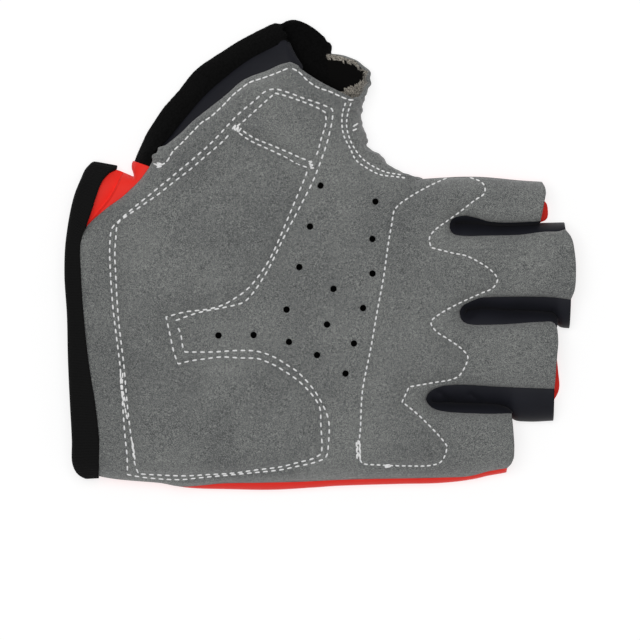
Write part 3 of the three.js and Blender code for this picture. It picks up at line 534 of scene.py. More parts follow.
def scatter(low, high, step):
    """A field of points in a triangular pattern."""
    row_share = 0.866
    xs = np.arange(low[0], high[0], step)
    ys = np.arange(low[1], high[1], step * row_share)
    x, y = np.meshgrid(xs, ys)
    x = x + (np.arange(len(ys)) % 2)[:, None] * step / 2
    return np.stack([x.ravel(), y.ravel()], 1)


def nearest_distance(points, others):
    tree = KDTree(len(others))
    for k, (x, y) in enumerate(others):
        tree.insert((x, y, 0), k)
    tree.balance()
    found = [tree.find((x, y, 0)) for x, y in points[:, :2]]
    return np.array([f[2] for f in found]), np.array([f[1] for f in found])


def thin_out(points, size):
    """Keeps one point in each cell of a raster."""
    cells = np.round(points / size).astype(int)
    return points[np.unique(cells, axis=0, return_index=True)[1]]


# The palm's shape
PALM_OUTLINE = [
    LITTLE_SIDE, LITTLE_MOUTH, RING_LITTLE_LOW, RING_LITTLE_HIGH, RING_MOUTH, MIDDLE_RING_LOW,
    MIDDLE_RING_HIGH, MIDDLE_MOUTH, INDEX_MIDDLE_LOW, INDEX_MIDDLE_HIGH, INDEX_MOUTH, INDEX_SIDE, WEB_SEAM,
    THUMB_RIM, THUMB_SEAM, WRIST_SEAM, CUFF_EDGE,
]
SEAM_ROWS = {
    "heel_pad": [HEEL_OUTER, HEEL_INNER],
    "thumb_pad": [THUMB_PAD_INNER, *THUMB_PAD_DIVIDE],
    "knuckle_pad": [KNUCKLE_ROW],
    "thumb_hem": [THUMB_HEM],
    "thumb_rim": [THUMB_RIM_HEM],
    "web": WEB_ROWS,
}
THUMB_PAD_LOW_SIDE = [
    (314, 160), (304, 159), (290, 153), (271, 145), (254, 138), (241, 129.5), (235, 127.5),
]
PAD_OUTLINES = [chain(rows, 2) for rows in (HEEL_INNER, [*THUMB_PAD_INNER, THUMB_PAD_LOW_SIDE], KNUCKLE_ROW)]

# Edges over which the suede rolls down: the edge's height, how far in the roll starts and how far it turns
SLIT_EDGE_HEIGHT = FINGER_HEIGHT - 2.5
SLIT_EDGES = [
    RING_LITTLE_LOW, RING_LITTLE_HIGH, MIDDLE_RING_LOW, MIDDLE_RING_HIGH, INDEX_MIDDLE_LOW, INDEX_MIDDLE_HIGH,
]
PALM_ROLLS = [
    (LITTLE_SIDE, SEAM_HEIGHT, 9, 0.93),
    (INDEX_SIDE, SEAM_HEIGHT, 9, 0.93),
    (WRIST_SEAM, THUMB_SEAM_HEIGHT, 5, 0.85),
    (THUMB_SEAM, THUMB_SEAM_HEIGHT, 8, 0.85),
    (THUMB_RIM, PALM_HEIGHT - 1.5, 5, 0.7),
    (WEB_SEAM, PALM_HEIGHT - 2.5, 5, 0.8),
    *[(edge, SLIT_EDGE_HEIGHT, 5, 0.8) for edge in SLIT_EDGES],
]

# Soft creases in the palm: two ends in the photograph, depth and half width in millimetres
PALM_CREASES = [
    ((160, 368), (203, 361), 0.5, 1.6),
    ((118, 395), (160, 380), 0.3, 3.0),
    ((245, 215), (275, 175), 0.25, 5.0),
    ((395, 330), (440, 300), 0.25, 4.0),
]


# The palm's height from the cuff to the fingers, and how a pad's rise fades in and towards the edge
PALM_PROFILE = [(-85, CUFF_HEIGHT), (-62, PALM_HEIGHT), (18, PALM_HEIGHT), (50, 15.1), (96, FINGER_HEIGHT)]
PAD_SHOULDER = (-0.5, 5.5)
PAD_EDGE_FADE = (0, 8)


def palm_height(points):
    """Height of the suede's outer face without its stitches."""
    x, y = points[:, 0], points[:, 1]
    waves = LONG_WAVE * np.sin(x / 7.3 + 0.8) * np.sin(y / 9.1 + 0.4) + SHORT_WAVE * np.sin(x / 4.1 - y / 5.3)
    middle = np.interp(x, *np.transpose(PALM_PROFILE)) + waves
    height = middle
    for places, foot, reach, turn in PALM_ROLLS:
        near = np.clip(1 - distance_to(chain([places], 1.5), points) / reach, 0, 1) * turn
        turned = (1 - np.sqrt(1 - near ** 2)) / (1 - math.sqrt(1 - turn ** 2))
        height = np.minimum(height, middle - (middle - foot) * turned)
    edge = distance_to(chain(PALM_OUTLINE, 1.5), points)
    for outline in PAD_OUTLINES:
        depth = distance_to(outline, points) * np.where(inside(outline, points), 1, -1)
        height = height + PAD_RISE * smoothstep(*PAD_SHOULDER, depth) * smoothstep(*PAD_EDGE_FADE, edge)
    for start, end, depth, width in PALM_CREASES:
        away = distance_to(plan([start, end]), points)
        height = height - depth * np.exp(-(away / width) ** 2)
    return height


def seam_samples():
    """Fine points along every row of stitches, each with the number of stitches up to it."""
    samples = []
    step = 0.1
    for name, rows in SEAM_ROWS.items():
        for row in rows:
            line = chain(row, step)
            samples.append(np.hstack([line, (np.arange(len(line)) * step / STITCHES[name][0])[:, None]]))
    return np.vstack(samples)


SEAM_SAMPLES = seam_samples()


def stitched_height(points):
    """Height of the suede with the grooves and puckers of its stitch rows."""
    away, index = nearest_distance(points, SEAM_SAMPLES[:, :2])
    stitches = SEAM_SAMPLES[index, 2]
    groove = GROOVE_DEPTH * np.exp(-(away / GROOVE_REACH) ** 2)
    pucker = PUCKER_DEPTH * np.cos(2 * math.pi * stitches) * np.exp(-(away / PUCKER_REACH) ** 2)
    return palm_height(points) - groove + pucker


# Points of the palm's mesh: steps along its edge and its seams, rows of fine points beside a seam, and the
# coarser field between them
PALM_EDGE_STEP = 0.7
SEAM_STEP = 0.55
SEAM_BANDS = (-1.6, -1.05, -0.5, 0, 0.5, 1.05, 1.6)
FINE_CELL = 0.4
FIELD_STEP = 1.05
FIELD_CLEAR = 0.7
EDGE_CLEAR = 0.3
VENT_SIDES = 16


def make_palm():
    outline = chain(PALM_OUTLINE, PALM_EDGE_STEP)[:-1]
    turns = np.linspace(0, 2 * math.pi, VENT_SIDES, endpoint=False)
    ring = VENT_RADIUS * np.stack([np.cos(turns), np.sin(turns)], 1)
    holes = [centre + ring for centre in plan(VENTS)]
    bands = []
    for rows in SEAM_ROWS.values():
        for row in rows:
            line = chain(row, SEAM_STEP)
            along = np.gradient(line, axis=0)
            side = np.stack([-along[:, 1], along[:, 0]], 1) / np.linalg.norm(along, axis=1)[:, None]
            bands += [line + side * shift for shift in SEAM_BANDS]
    fine = thin_out(np.vstack(bands), FINE_CELL)
    coarse = scatter(outline.min(0), outline.max(0), FIELD_STEP)
    coarse = coarse[nearest_distance(coarse, fine)[0] > FIELD_CLEAR]
    points = np.vstack([fine, coarse])
    points = points[inside(outline, points)]
    points = points[distance_to(np.vstack([outline, outline[:1]]), points) > EDGE_CLEAR]
    for centre in plan(VENTS):
        points = points[np.linalg.norm(points - centre, axis=1) > VENT_RADIUS + EDGE_CLEAR]
    flat, triangles = fill_plan([outline, *holes], points)
    surface = np.hstack([flat, stitched_height(flat)[:, None]])
    return make_sheet("palm_suede", surface, triangles, SUEDE_WALL, ["suede", "wrong_side"])


# Stitches: the sides of a thread, the height over the cloth and the share of the radius along one stitch, and
# the share of the pitch before the first
THREAD_SIDES = 6
STITCH_BEND = (-0.42, 0.06, 0.17, 0.17, 0.06, -0.42)
STITCH_TAPER = np.array([0.7, 1, 1, 1, 1, 0.7])
STITCH_LEAD = 0.3
ROW_STEP = 0.3


def stitch_row(line, pitch, length):
    """Threads of one row: each stitch comes up out of the cloth, lies on it and dives back in.

    A line with heights of its own is followed, and any other lies on the suede.
    """
    spans, sides = len(STITCH_BEND), THREAD_SIDES
    starts = np.arange(STITCH_LEAD * pitch, length_of(line) - length, pitch)
    at = (starts[:, None] + np.linspace(0, 1, spans) * length).ravel()
    steps = np.concatenate([[0], np.cumsum(np.linalg.norm(np.diff(line, axis=0), axis=1))])
    flat = np.stack([np.interp(at, steps, line[:, k]) for k in range(2)], 1)
    cloth = stitched_height(flat) if line.shape[1] == 2 else np.interp(at, steps, line[:, 2])
    height = cloth + np.tile(STITCH_BEND, len(starts))
    middle = np.hstack([flat, height[:, None]]).reshape(len(starts), spans, 3)
    along = np.gradient(middle, axis=1)
    along /= np.linalg.norm(along, axis=2)[..., None]
    side = np.cross(along, (0, 0, 1.0))
    side /= np.linalg.norm(side, axis=2)[..., None]
    up = np.cross(side, along)
    turn = np.linspace(0, 2 * math.pi, sides, endpoint=False)[None, None, :, None]
    radius = STITCH_TAPER[None, :, None, None] * THREAD_RADIUS
    rings = middle[:, :, None] + radius * (np.cos(turn) * side[:, :, None] + np.sin(turn) * up[:, :, None])
    per = spans * sides + 2
    points = np.concatenate([rings.reshape(len(starts), -1, 3), middle[:, :1], middle[:, -1:]], axis=1)
    quads, caps = [], []
    last = (spans - 1) * sides
    for k in range(sides):
        after = (k + 1) % sides
        for a in range(0, last, sides):
            quads.append([a + k, a + sides + k, a + sides + after, a + after])
        caps += [[per - 2, k, after], [per - 1, last + after, last + k]]
    shift = (np.arange(len(starts)) * per)[:, None, None]
    quads, caps = [(np.array(part) + shift).reshape(-1, len(part[0])) for part in (quads, caps)]
    return points.reshape(-1, 3), quads, caps


def make_threads(name, parts):
    """The threads of several rows as one piece."""
    counts = np.cumsum([0] + [len(part[0]) for part in parts])
    faces = [np.vstack([part[k] + count for part, count in zip(parts, counts)]) for k in (1, 2)]
    return make_piece(name, np.vstack([part[0] for part in parts]), faces, ["thread"])


def make_stitches(name, rows, pitch, length):
    return make_threads(name, [stitch_row(chain(row, ROW_STEP), pitch, length) for row in rows])


# Backtacks: two ends of a block in the photograph, half its width there and its threads
BACKTACKS = table(
    "start end half threads",
    ((386, 465.3), (386.6, 467.3), 4.8, 3),
    ((233, 128), (239, 131), 4.5, 5),
    ((309.5, 161.5), (311.5, 168), 2.6, 5),
    ((158, 163), (158, 167), 4.0, 4),
)
BACKTACK_SLANT = 0.25
BACKTACK_SHARE = 0.68
# Rows sewn over again along the heel pad and the knuckle pad
OVERSTITCHED = [
    [(120.2, 371), (121, 388), (123.5, 402), (127.5, 420)],
    [(122.8, 371), (122.2, 388), (125.6, 403)],
    [(132.6, 441), (135.4, 463)],
    [(131.8, 439), (134.4, 461)],
    [(356.2, 440), (356.8, 451), (357.2, 462)],
    [(358.4, 438), (357.6, 448), (358.6, 458)],
    [(359.8, 441), (360.2, 452), (360.2, 463)],
]

# Loose threads on the web gusset: two ends in the photograph with their heights
STRAY_THREADS = [[(351, 127.5, 13.3), (358, 123, 12.0)], [(350.5, 131.5, 13.3), (357.5, 128, 12.2)]]


def make_backtacks():
    """Short threads laid close beside each other where a seam is locked, and a few loose ends."""
    lines = [plan_heights(ends) for ends in STRAY_THREADS]
    for row in BACKTACKS:
        start, end = plan([row["start"], row["end"]])
        along = (end - start) / np.linalg.norm(end - start)
        side = np.array([-along[1], along[0]]) * row["half"] * PIXEL
        for k, share in enumerate(np.linspace(0, 1, row["threads"])):
            centre = blend(start, end, share)
            slant = along * BACKTACK_SLANT * (-1) ** k
            lines.append(np.array([centre - side - slant, centre + side + slant]))
    parts = [stitch_row(evenly(line, 5), length_of(line), BACKTACK_SHARE * length_of(line)) for line in lines]
    parts += [stitch_row(chain([row], ROW_STEP), *STITCHES["overstitched"]) for row in OVERSTITCHED]
    return make_threads("stitches_backtacks", parts)


# The red back
BACK_LOW_EDGE = [
    (60, 472), (98, 475), (140, 480), (168, 484.5), (180, 487.6), (200, 490), (235, 491.4), (271, 492),
    (314, 489.7), (335, 488), (400, 486), (440, 485), (473, 481), (490, 477.3), (509, 474), (530, 471),
]
BACK_MOUTHS = {
    "little": [(508, 475), (509.5, 460), (509, 430), (508, 412)],
    "ring": [(549, 411), (561, 391), (560.5, 372), (558, 352), (555.5, 340), (555, 330)],
    "middle": [(568, 320), (572, 300), (573, 270), (571, 245), (566, 232)],
    "index": [(541, 222), (549, 218), (550, 208), (548, 201), (542, 198), (541, 190), (540, 183)],
}
BACK_SLITS = [[(436, 406), (440, 405)], [(472, 312), (476, 311)], [(462, 224), (466, 223)]]
CUFF_SIDE = [(79, 479), (80, 400), (78, 330), (76, 265), (82, 232)]
INDEX_WALL_LINE = [(330, 170), (390, 174), (418, 176), (450, 174.5), (500, 175.5), (545, 179)]
INDEX_CUT = [(541, 178), (418, 176)]
WRIST_CUT = [(375, 160), (330, 172), (250, 172), (160, 182), (120, 195), (92, 222)]
LITTLE_CUT_SPAN = (-79, 63)
BACK_STEP = 1.2
BACK_FIELD = 1.5

# Where the red back bends up into a side wall: how far in the bend starts, how much cloth bends up, the
# height at which it turns in, and where the wall at the index finger begins and grows
WALL_WIDTH = 5
WALL_SPAN = 11
WALL_TURN = 5.4
INDEX_WALL_START = 14
INDEX_WALL_GROWTH = (16, 36)

# The cuff tape under the cloth lifts it from the ground near the wrist
TAPE_LIFT = 1.55
TAPE_LIFT_SPAN = (-81, -59)

# Where the red cloth's inner face carries the near-black painted shade: from the cuff to the knuckles, and
# low enough
PAINTED_SHADE_START = -70
PAINTED_SHADE_END = 40
PAINTED_SHADE_TOP = 2.5


def bezier(t, a, b, c, d):
    """A cubic curve from a to d that is pulled towards b and c."""
    return (1 - t) ** 3 * a + 3 * (1 - t) ** 2 * t * b + 3 * (1 - t) * t ** 2 * c + t ** 3 * d


def line_at(places, x):
    """How far across the smooth line through some places is at each x."""
    line = curve(plan(places), 1)
    return np.interp(x, line[:, 0], line[:, 1])


def back_surface(flat):
    """Turns the cut shape of the red back into the lying one: flat on the ground, its sides bent up."""
    x, y = flat.T
    low_y, seam_y, high_y = [line_at(places, x) for places in (BACK_LOW_EDGE, LITTLE_SIDE, INDEX_WALL_LINE)]
    lift = TAPE_LIFT * (1 - smoothstep(*TAPE_LIFT_SPAN, x))
    top = SEAM_HEIGHT + 0.5
    t = np.clip((low_y + WALL_WIDTH - flat[:, 1]) / WALL_SPAN, 0, 1)
    out = low_y - 1.2
    y = np.where(t > 0, bezier(t, low_y + WALL_WIDTH, out, out, seam_y + 1.6), y)
    z = np.where(t > 0, bezier(t, lift, 0.6 * lift, WALL_TURN, top), lift)
    t = np.clip((flat[:, 1] - (high_y - WALL_WIDTH)) / WALL_SPAN, 0, 1) * (x > INDEX_WALL_START)
    out = high_y - 1.6
    rise = 0.12 + 0.88 * smoothstep(*INDEX_WALL_GROWTH, x)
    y = np.where(t > 0, bezier(t, high_y - WALL_WIDTH, out, out, high_y - 2.2), y)
    z = np.where(t > 0, bezier(t, 0, 0, WALL_TURN, top) * rise, z)
    z = z + 0.12 * (1 + np.sin(x / 6.1) * np.sin(y / 7.7)) * smoothstep(0, 8, y - low_y)
    return np.stack([x, y, z], 1)


def back_mesh():
    """The red back: its cut outline, run by run from the little finger's side, filled and bent."""
    low_line = curve(plan(BACK_LOW_EDGE), BACK_STEP)
    start, end = LITTLE_CUT_SPAN
    low_line = low_line[(low_line[:, 0] > start) & (low_line[:, 0] < end)]
    cuff, index_cut, wrist_cut = plan(CUFF_SIDE), plan(INDEX_CUT), plan(WRIST_CUT)
    mouths = [curve(plan(BACK_MOUTHS[finger]), BACK_STEP) for finger in ("little", "ring", "middle", "index")]
    slits = [curve(plan(slit), BACK_STEP) for slit in BACK_SLITS]
    loop = [low_line - (0, WALL_SPAN - WALL_WIDTH), mouths[0]]
    for slit, mouth in zip(slits, mouths[1:]):
        loop += [slit, mouth]
    loop += [curve(index_cut + (0, WALL_SPAN - WALL_WIDTH), BACK_STEP), curve(wrist_cut, BACK_STEP)]
    loop = np.vstack([*loop, curve(cuff, BACK_STEP)[::-1][1:-1]])
    loop = loop[np.linalg.norm(loop - np.roll(loop, 1, axis=0), axis=1) > 0.2]
    points = scatter(loop.min(0), loop.max(0), BACK_FIELD)
    points = points[inside(loop, points)]
    points = points[distance_to(np.vstack([loop, loop[:1]]), points) > 0.5]
    flat, triangles = fill_plan([loop], points)
    surface = back_surface(flat)
    surface[:, 2] = np.maximum(surface[:, 2], GROUND_GAP)
    return surface, triangles[:, ::-1]


# Wrap of the red cloth round the wrist below the thumb: the suede's edge, the silhouette and the ground
WRIST_WRAP = table(
    "edge side foot",
    ((77, 239), (87, 170), (93, 196)),
    ((90, 222), (96, 167.5), (102, 194)),
    ((100, 213), (106, 167.5), (111, 192)),
    ((110, 205), (117, 169.5), (120, 190)),
    ((120, 198), (122, 171.5), (130, 188)),
    ((128, 191), (127, 173.5), (138, 186)),
    ((136, 184), (132.5, 175.5), (142, 184)),
    ((140, 179), (132.3, 173), (146, 182)),
    ((144, 174), (130.5, 167), (148, 180)),
    ((147, 169), (130.8, 162), (150, 178)),
    ((149, 166), (131.8, 160), (151, 177)),
)
WRAP_PLEAT = [(90, 223), (98, 213), (110, 198), (117, 185), (123, 172)]
PLEAT_DEPTH = 2.3
PLEAT_REACH = 3.2


def wrap_mesh():
    """The wrap, with a pleat at whose left side the cloth lies deeper."""
    sections = []
    for row in WRIST_WRAP:
        edge, side, foot = plan([row["edge"], row["side"], row["foot"]])
        tucked = edge + (edge - side) / np.linalg.norm(edge - side)
        sections.append([
            (*tucked, THUMB_SEAM_HEIGHT - 0.9), (*blend(edge, side, 0.2), 11.1),
            (*blend(edge, side, 0.65), 10.1), (*side, 6), (*blend(side, foot, 0.2), 1.3), (*foot, 0.5)])
    grid = surface_through(sections, 70, 44)
    flat = grid[..., :2].reshape(-1, 2)
    pleat = curve(plan(WRAP_PLEAT), 0.5)
    away = distance_to(pleat, flat)
    lean = np.gradient(pleat, axis=0)
    nearest = np.array([np.argmin(((pleat - p) ** 2).sum(1)) for p in flat])
    offset = flat - pleat[nearest]
    left = (lean[nearest, 0] * offset[:, 1] - lean[nearest, 1] * offset[:, 0]) > 0
    drop = np.where(left, PLEAT_DEPTH * np.exp(-away / PLEAT_REACH) * smoothstep(0, 0.5, away), 0)
    points = grid.reshape(-1, 3)
    points[:, 2] -= drop * smoothstep(5, 8, points[:, 2])
    return points, grid_faces(*grid.shape[:2])


def make_back_lycra():
    points, triangles = back_mesh()
    wrap, quads = wrap_mesh()
    split = np.vstack([quads[:, [0, 1, 2]], quads[:, [0, 2, 3]]])
    faces = np.vstack([triangles, split + len(points)])
    points = np.vstack([points, wrap])
    piece = make_sheet("back_lycra", points, faces, LYCRA_WALL, ["lycra_red", "lycra_painted_shade"])

    # Inner faces low under the palm keep the near-black finish as painted shade; all other faces turn red
    def red_outside_painted_shade(centres, marks):
        x, z = centres[:, 0], centres[:, 2]
        return np.where((x > PAINTED_SHADE_END) | (x < PAINTED_SHADE_START) | (z > PAINTED_SHADE_TOP), 0, marks)

    change_finishes(piece, red_outside_painted_shade)
    return piece


# Side walls between the fingers: where the two walls meet on the ground
FOLDS = {
    "fourchette_index_middle": {
        "edges": (INDEX_MIDDLE_LOW, INDEX_MIDDLE_HIGH),
        "fold": [(450, 226), (462, 222.5), (480, 223), (500, 224.5), (545, 223.5), (566, 223)],
        "cut": (0.08, 0.0115),
        "creases": [((455, 221), (484, 222), 0.7, 0.8)],
    },
    "fourchette_middle_ring": {
        "edges": (MIDDLE_RING_LOW, MIDDLE_RING_HIGH),
        "fold": [
            (462, 312), (480, 308), (500, 309.5), (523, 310.5), (545, 312), (556, 314), (562, 325),
            (573, 327),
        ],
        "cut": (0.083, 0.0125),
        "creases": [((466, 307), (478, 311), 0.6, 0.7), ((470, 318), (480, 311), 0.5, 0.7)],
    },
    "fourchette_ring_little": {
        "edges": (RING_LITTLE_LOW, RING_LITTLE_HIGH),
        "fold": [
            (428, 402), (449, 403.5), (480, 404.6), (500, 406), (510, 410), (516, 419), (530, 421),
            (558, 420),
        ],
        "cut": (0.082, 0.0135),
        "creases": [((439, 391), (455, 403), 0.8, 0.8), ((471, 393), (487, 403), 0.7, 0.8)],
    },
}


# A side wall between two fingers: its columns, how far its edge is tucked under the suede, the height of its
# foot, and half the gap to the other wall
FOURCHETTE_COLUMNS = 22
FOURCHETTE_TUCK = 0.9
FOURCHETTE_FOOT = 0.9
FOURCHETTE_HALF_GAP = 0.35


def make_fourchette(name, row):
    """Two side walls folded from one strip round the root of the gap between two fingers."""
    path = chain(row["edges"], 0.6)
    fold = curve(plan(row["fold"]), 0.5)
    fold = fold[np.argsort(fold[:, 0])]
    along = np.gradient(path, axis=0)
    gapward = np.stack([along[:, 1], -along[:, 0]], 1) / np.linalg.norm(along, axis=1)[:, None]
    top = SLIT_EDGE_HEIGHT - 1.1
    root = fold[0, 0] + 1.5
    half = np.where(np.arange(len(path)) < len(path) / 2, -FOURCHETTE_HALF_GAP, FOURCHETTE_HALF_GAP)
    x = np.maximum(path[:, 0], root)
    valley = np.stack([x, np.interp(x, fold[:, 0], fold[:, 1]) + half], 1)
    tucked = path - gapward * FOURCHETTE_TUCK
    columns = []
    for angle in np.linspace(0, math.pi / 2, FOURCHETTE_COLUMNS):
        flat = tucked + (valley - tucked) * math.sin(angle) ** 1.3
        z = FOURCHETTE_FOOT + (top - FOURCHETTE_FOOT) * max(math.cos(angle), 0) ** 0.8
        columns.append(np.hstack([flat, np.full((len(flat), 1), z)]))
    grid = np.stack(columns, axis=1)
    flat = grid[..., :2].reshape(-1, 2)
    for start, end, depth, width in row["creases"]:
        crease = depth * np.exp(-(distance_to(plan([start, end]), flat) / width) ** 2)
        grid[..., 2] -= crease.reshape(grid.shape[:2]) * smoothstep(2, 5, grid[..., 2])
    return grid_sheet(name + "_lycra", grid, LYCRA_WALL * 0.8, ["lycra_black"])


# Terry band round the outer side of the thumb: its seam with its height, its widest line and its foot
BAND_SECTIONS = table(
    "top side foot height",
    ((149, 166), (132.5, 161), (168, 172), 11.3),
    ((153.5, 151), (136.7, 151), (180, 170), 11.2),
    ((164, 141), (146, 131), (200, 170), 9.8),
    ((182, 120), (161, 108), (225, 170), 9),
    ((204, 94.4), (177.5, 89), (250, 168), 9),
    ((226.7, 74.4), (196, 66.8), (285, 165), 9),
    ((249, 58), (225.6, 46.7), (312, 150), 9),
    ((269, 47.5), (252, 31.4), (326, 125), 8.8),
    ((284, 41), (275, 21), (330, 95), 8.4),
)
BAND_END = [
    (289, 40, 8.2), (282, 33, 8.0), (281, 23, 6.2), (293, 17.5, 4.2), (312, 24.5, 2.6), (327.5, 40, 1.6),
    (326, 50, 0.7),
]
BAND_UNDERSIDE = 0.35
TERRY_RELIEF = 0.07


def band_section(row):
    top, side, foot = plan([row["top"], row["side"], row["foot"]])
    turn = (foot - side) / np.linalg.norm(foot - side)
    return [
        (*top, row["height"]), (*blend(top, side, 0.45), row["height"] - 0.9), (*side, SIDE_HEIGHT),
        (*(side + turn * 1.6), 1.2), (*(side + turn * 5), BAND_UNDERSIDE),
        (*blend(side, foot, 0.6), BAND_UNDERSIDE), (*foot, BAND_UNDERSIDE)]


def make_band():
    sections = [*[band_section(row) for row in BAND_SECTIONS], plan_heights(BAND_END)]
    grid = surface_through(sections, 130, 70)
    x, y, z = grid.reshape(-1, 3).T
    loops = np.sin(x * 7.1 + 3 * np.sin(y * 2.3)) * np.sin(y * 6.7 + z * 5.1)
    return grid_sheet("thumb_terry_band", raised(grid, TERRY_RELIEF * loops), TERRY_WALL, ["terry"])


# Navy strip between the suede and the band: its edge under the suede and its edge at the band
NAVY_SECTIONS = table(
    "upper lower",
    ((164, 146.5), (160, 145)),
    ((173, 140), (168, 137.5)),
    ((193, 122), (183, 118)),
    ((217, 103), (205, 93)),
    ((240, 83), (227, 73.5)),
    ((264, 72.5), (249, 57)),
    ((280, 65.5), (269, 46.5)),
    ((290, 63.5), (286, 39.5)),
)
NAVY_END = [(301, 70.5, 11.5), (303, 67, 10.6), (296, 54, 8.4), (289.5, 40.5, 7.2)]
NAVY_TOP = THUMB_SEAM_HEIGHT - 0.8
NAVY_FOOT = 8.1
NAVY_BOW = 0.5


def make_navy():
    sections = []
    for row in NAVY_SECTIONS:
        upper, lower = plan([row["upper"], row["lower"]])
        away = (upper - lower) / max(np.linalg.norm(upper - lower), 0.1)
        upper = upper + away * 1.2
        lower = lower - away * 0.4
        sections.append([
            (*blend(upper, lower, s), blend(NAVY_TOP, NAVY_FOOT, s) + NAVY_BOW * math.sin(math.pi * s))
            for s in (0, 0.33, 0.66, 1)])
    sections.append(plan_heights(NAVY_END))
    return grid_sheet("thumb_side_lycra", surface_through(sections, 90, 14), LYCRA_WALL, ["lycra_navy"])


# Suede gusset from the far rim of the thumb's mouth down the web to the index finger
GUSSET_SECTIONS = [
    [(355, 99, 13.2), (363, 97, 11.6), (369, 89, 9.4), (371.5, 78, 7.2), (367, 66, 4.8), (347, 54, 2.4),
     (314, 50, 0.8)],
    [(352, 106, 13.1), (360, 103.5, 11), (363.5, 99, 8.6), (366, 90, 5.2), (362, 78, 2.6), (348, 66, 1.4),
     (318, 66, 0.5)],
    [(349.5, 116, 13.1), (357, 114.5, 11.4), (361.5, 113, 7.5), (361, 109, 3.4), (356, 100, 1.5),
     (345, 90, 0.6), (322, 86, 0.4)],
    [(348.5, 126, 13.2), (357, 124.5, 11.8), (362, 123, 8), (362, 122, 3.6), (357, 118, 1.2),
     (345, 112, 0.5), (326, 108, 0.4)],
    [(351, 137, 13.2), (359.5, 136, 12), (366.3, 137, 8.2), (366, 137, 3.6), (360, 134, 1.1),
     (346, 130, 0.5), (328, 128, 0.4)],
    [(357, 148.5, 13), (362.5, 146.5, 11), (366, 145, 7.5), (366.5, 145.5, 3.6), (361, 145, 1.1),
     (348, 144, 0.5), (330, 144, 0.4)],
    [(366, 159, 12.7), (374, 154.5, 10.6), (380.5, 153.8, 7), (380, 155, 3.6), (374, 158, 1.3),
     (360, 160, 0.5), (338, 160, 0.4)],
    [(379, 166.5, 12.3), (384, 164, 10.2), (389, 163.5, 7), (388, 165, 3.8), (383, 168, 1.8),
     (372, 172, 0.8), (352, 172, 0.5)],
    [(397, 175, 12.4), (402, 172.8, 11), (405, 172.2, 8), (404, 173.5, 4.6), (400, 176, 2.4),
     (392, 178, 1.2), (380, 178, 0.9)],
    [(419, 181.5, 8.6), (422, 179, 8), (423, 178, 6.6), (422, 178.5, 4.6), (418, 180, 2.8),
     (412, 181.5, 1.8), (406, 182, 1.6)],
]

# The mouth's fuzzy rim: how wide it shows at the far side, and where it widens towards the palm; behind it
# the gusset's inner face carries painted shade
RIM_FUZZ = 2.0
RIM_FUZZ_NEAR_PALM = 5.5
RIM_FUZZ_TURN = (55.5, 60.5)


def make_gusset():
    grid = surface_through([plan_heights(section) for section in GUSSET_SECTIONS], 90, 60)
    x, y, z = grid.reshape(-1, 3).T
    crumple = 0.35 * np.sin(x * 0.9 + y * 0.5) * np.sin(y * 0.8 - z * 0.6) + 0.18 * np.sin(y * 1.9 + z * 0.8)
    grid = raised(grid, crumple * smoothstep(0.8, 4, z))
    grid[..., 2] = np.maximum(grid[..., 2], 0.1)
    piece = grid_sheet("web_gusset_suede", grid, SUEDE_WALL, ["suede", "wrong_side", "gusset_painted_shade"])
    rim = curve(plan_heights(GUSSET_SECTIONS[0])[:, :2], 0.5)

    # Inner faces farther from the rim than the fuzz get the near-black painted shade
    def painted_shade_behind_rim(centres, marks):
        x, y = centres[:, 0], centres[:, 1]
        ragged = 0.35 * np.sin(3.1 * x + 1.7 * y) + 0.25 * np.sin(5.3 * y)
        fuzz = blend(RIM_FUZZ_NEAR_PALM, RIM_FUZZ, smoothstep(*RIM_FUZZ_TURN, y)) + ragged
        return np.where((marks == 1) & (distance_to(rim, centres) > fuzz), 2, marks)

    change_finishes(piece, painted_shade_behind_rim)
    return piece


# Cuff tape: places and heights of its outer and inner edge on the palm side, from the little finger's side
CUFF_RIM = table(
    "outer inner",
    ((80, 474, 4.6), (97, 473, 6.4)),
    ((74.5, 470.5, 7.6), (98.5, 468.5, 9.9)),
    ((71.3, 462, 10.2), (99.6, 460, 12.7)),
    ((71.3, 440, 12.9), (99.5, 440, 14.1)),
    ((69.5, 405, 13.3), (96, 407, 14.3)),
    ((67.5, 360, 13.4), (89, 362, 14.3)),
    ((66.5, 315, 13.4), (84, 315, 14.2)),
    ((64, 275, 13.4), (81.3, 275, 14.1)),
    ((65, 243, 13.1), (80.6, 245, 13.7)),
    ((69, 214, 12.0), (86, 225, 12.2)),
    ((74, 193, 10.8), (94.5, 200, 11.0)),
    ((79.5, 179, 9.2), (101, 183, 9.6)),
    ((83.5, 169.5, 7.2), (108, 174.5, 7.2)),
    ((87.5, 165.5, 5.2), (115, 171, 5.0)),
)
# On the ground side the tape's two edges lie this far in from the outer edge above them
CUFF_GROUND_EDGES = (0.8, 7.2)
CUFF_GROUND_HEIGHT = 2.45
CUFF_TAPE_HALF = 1.05
CUFF_TAPE_WALL = 0.85
CUFF_FOLD_SHARE = 0.3
# The ribs are drawn coarser than the real ones, so that they show
RIB_PITCH = 0.9
RIB_DEPTH = 0.26
RIB_SAMPLES = 5


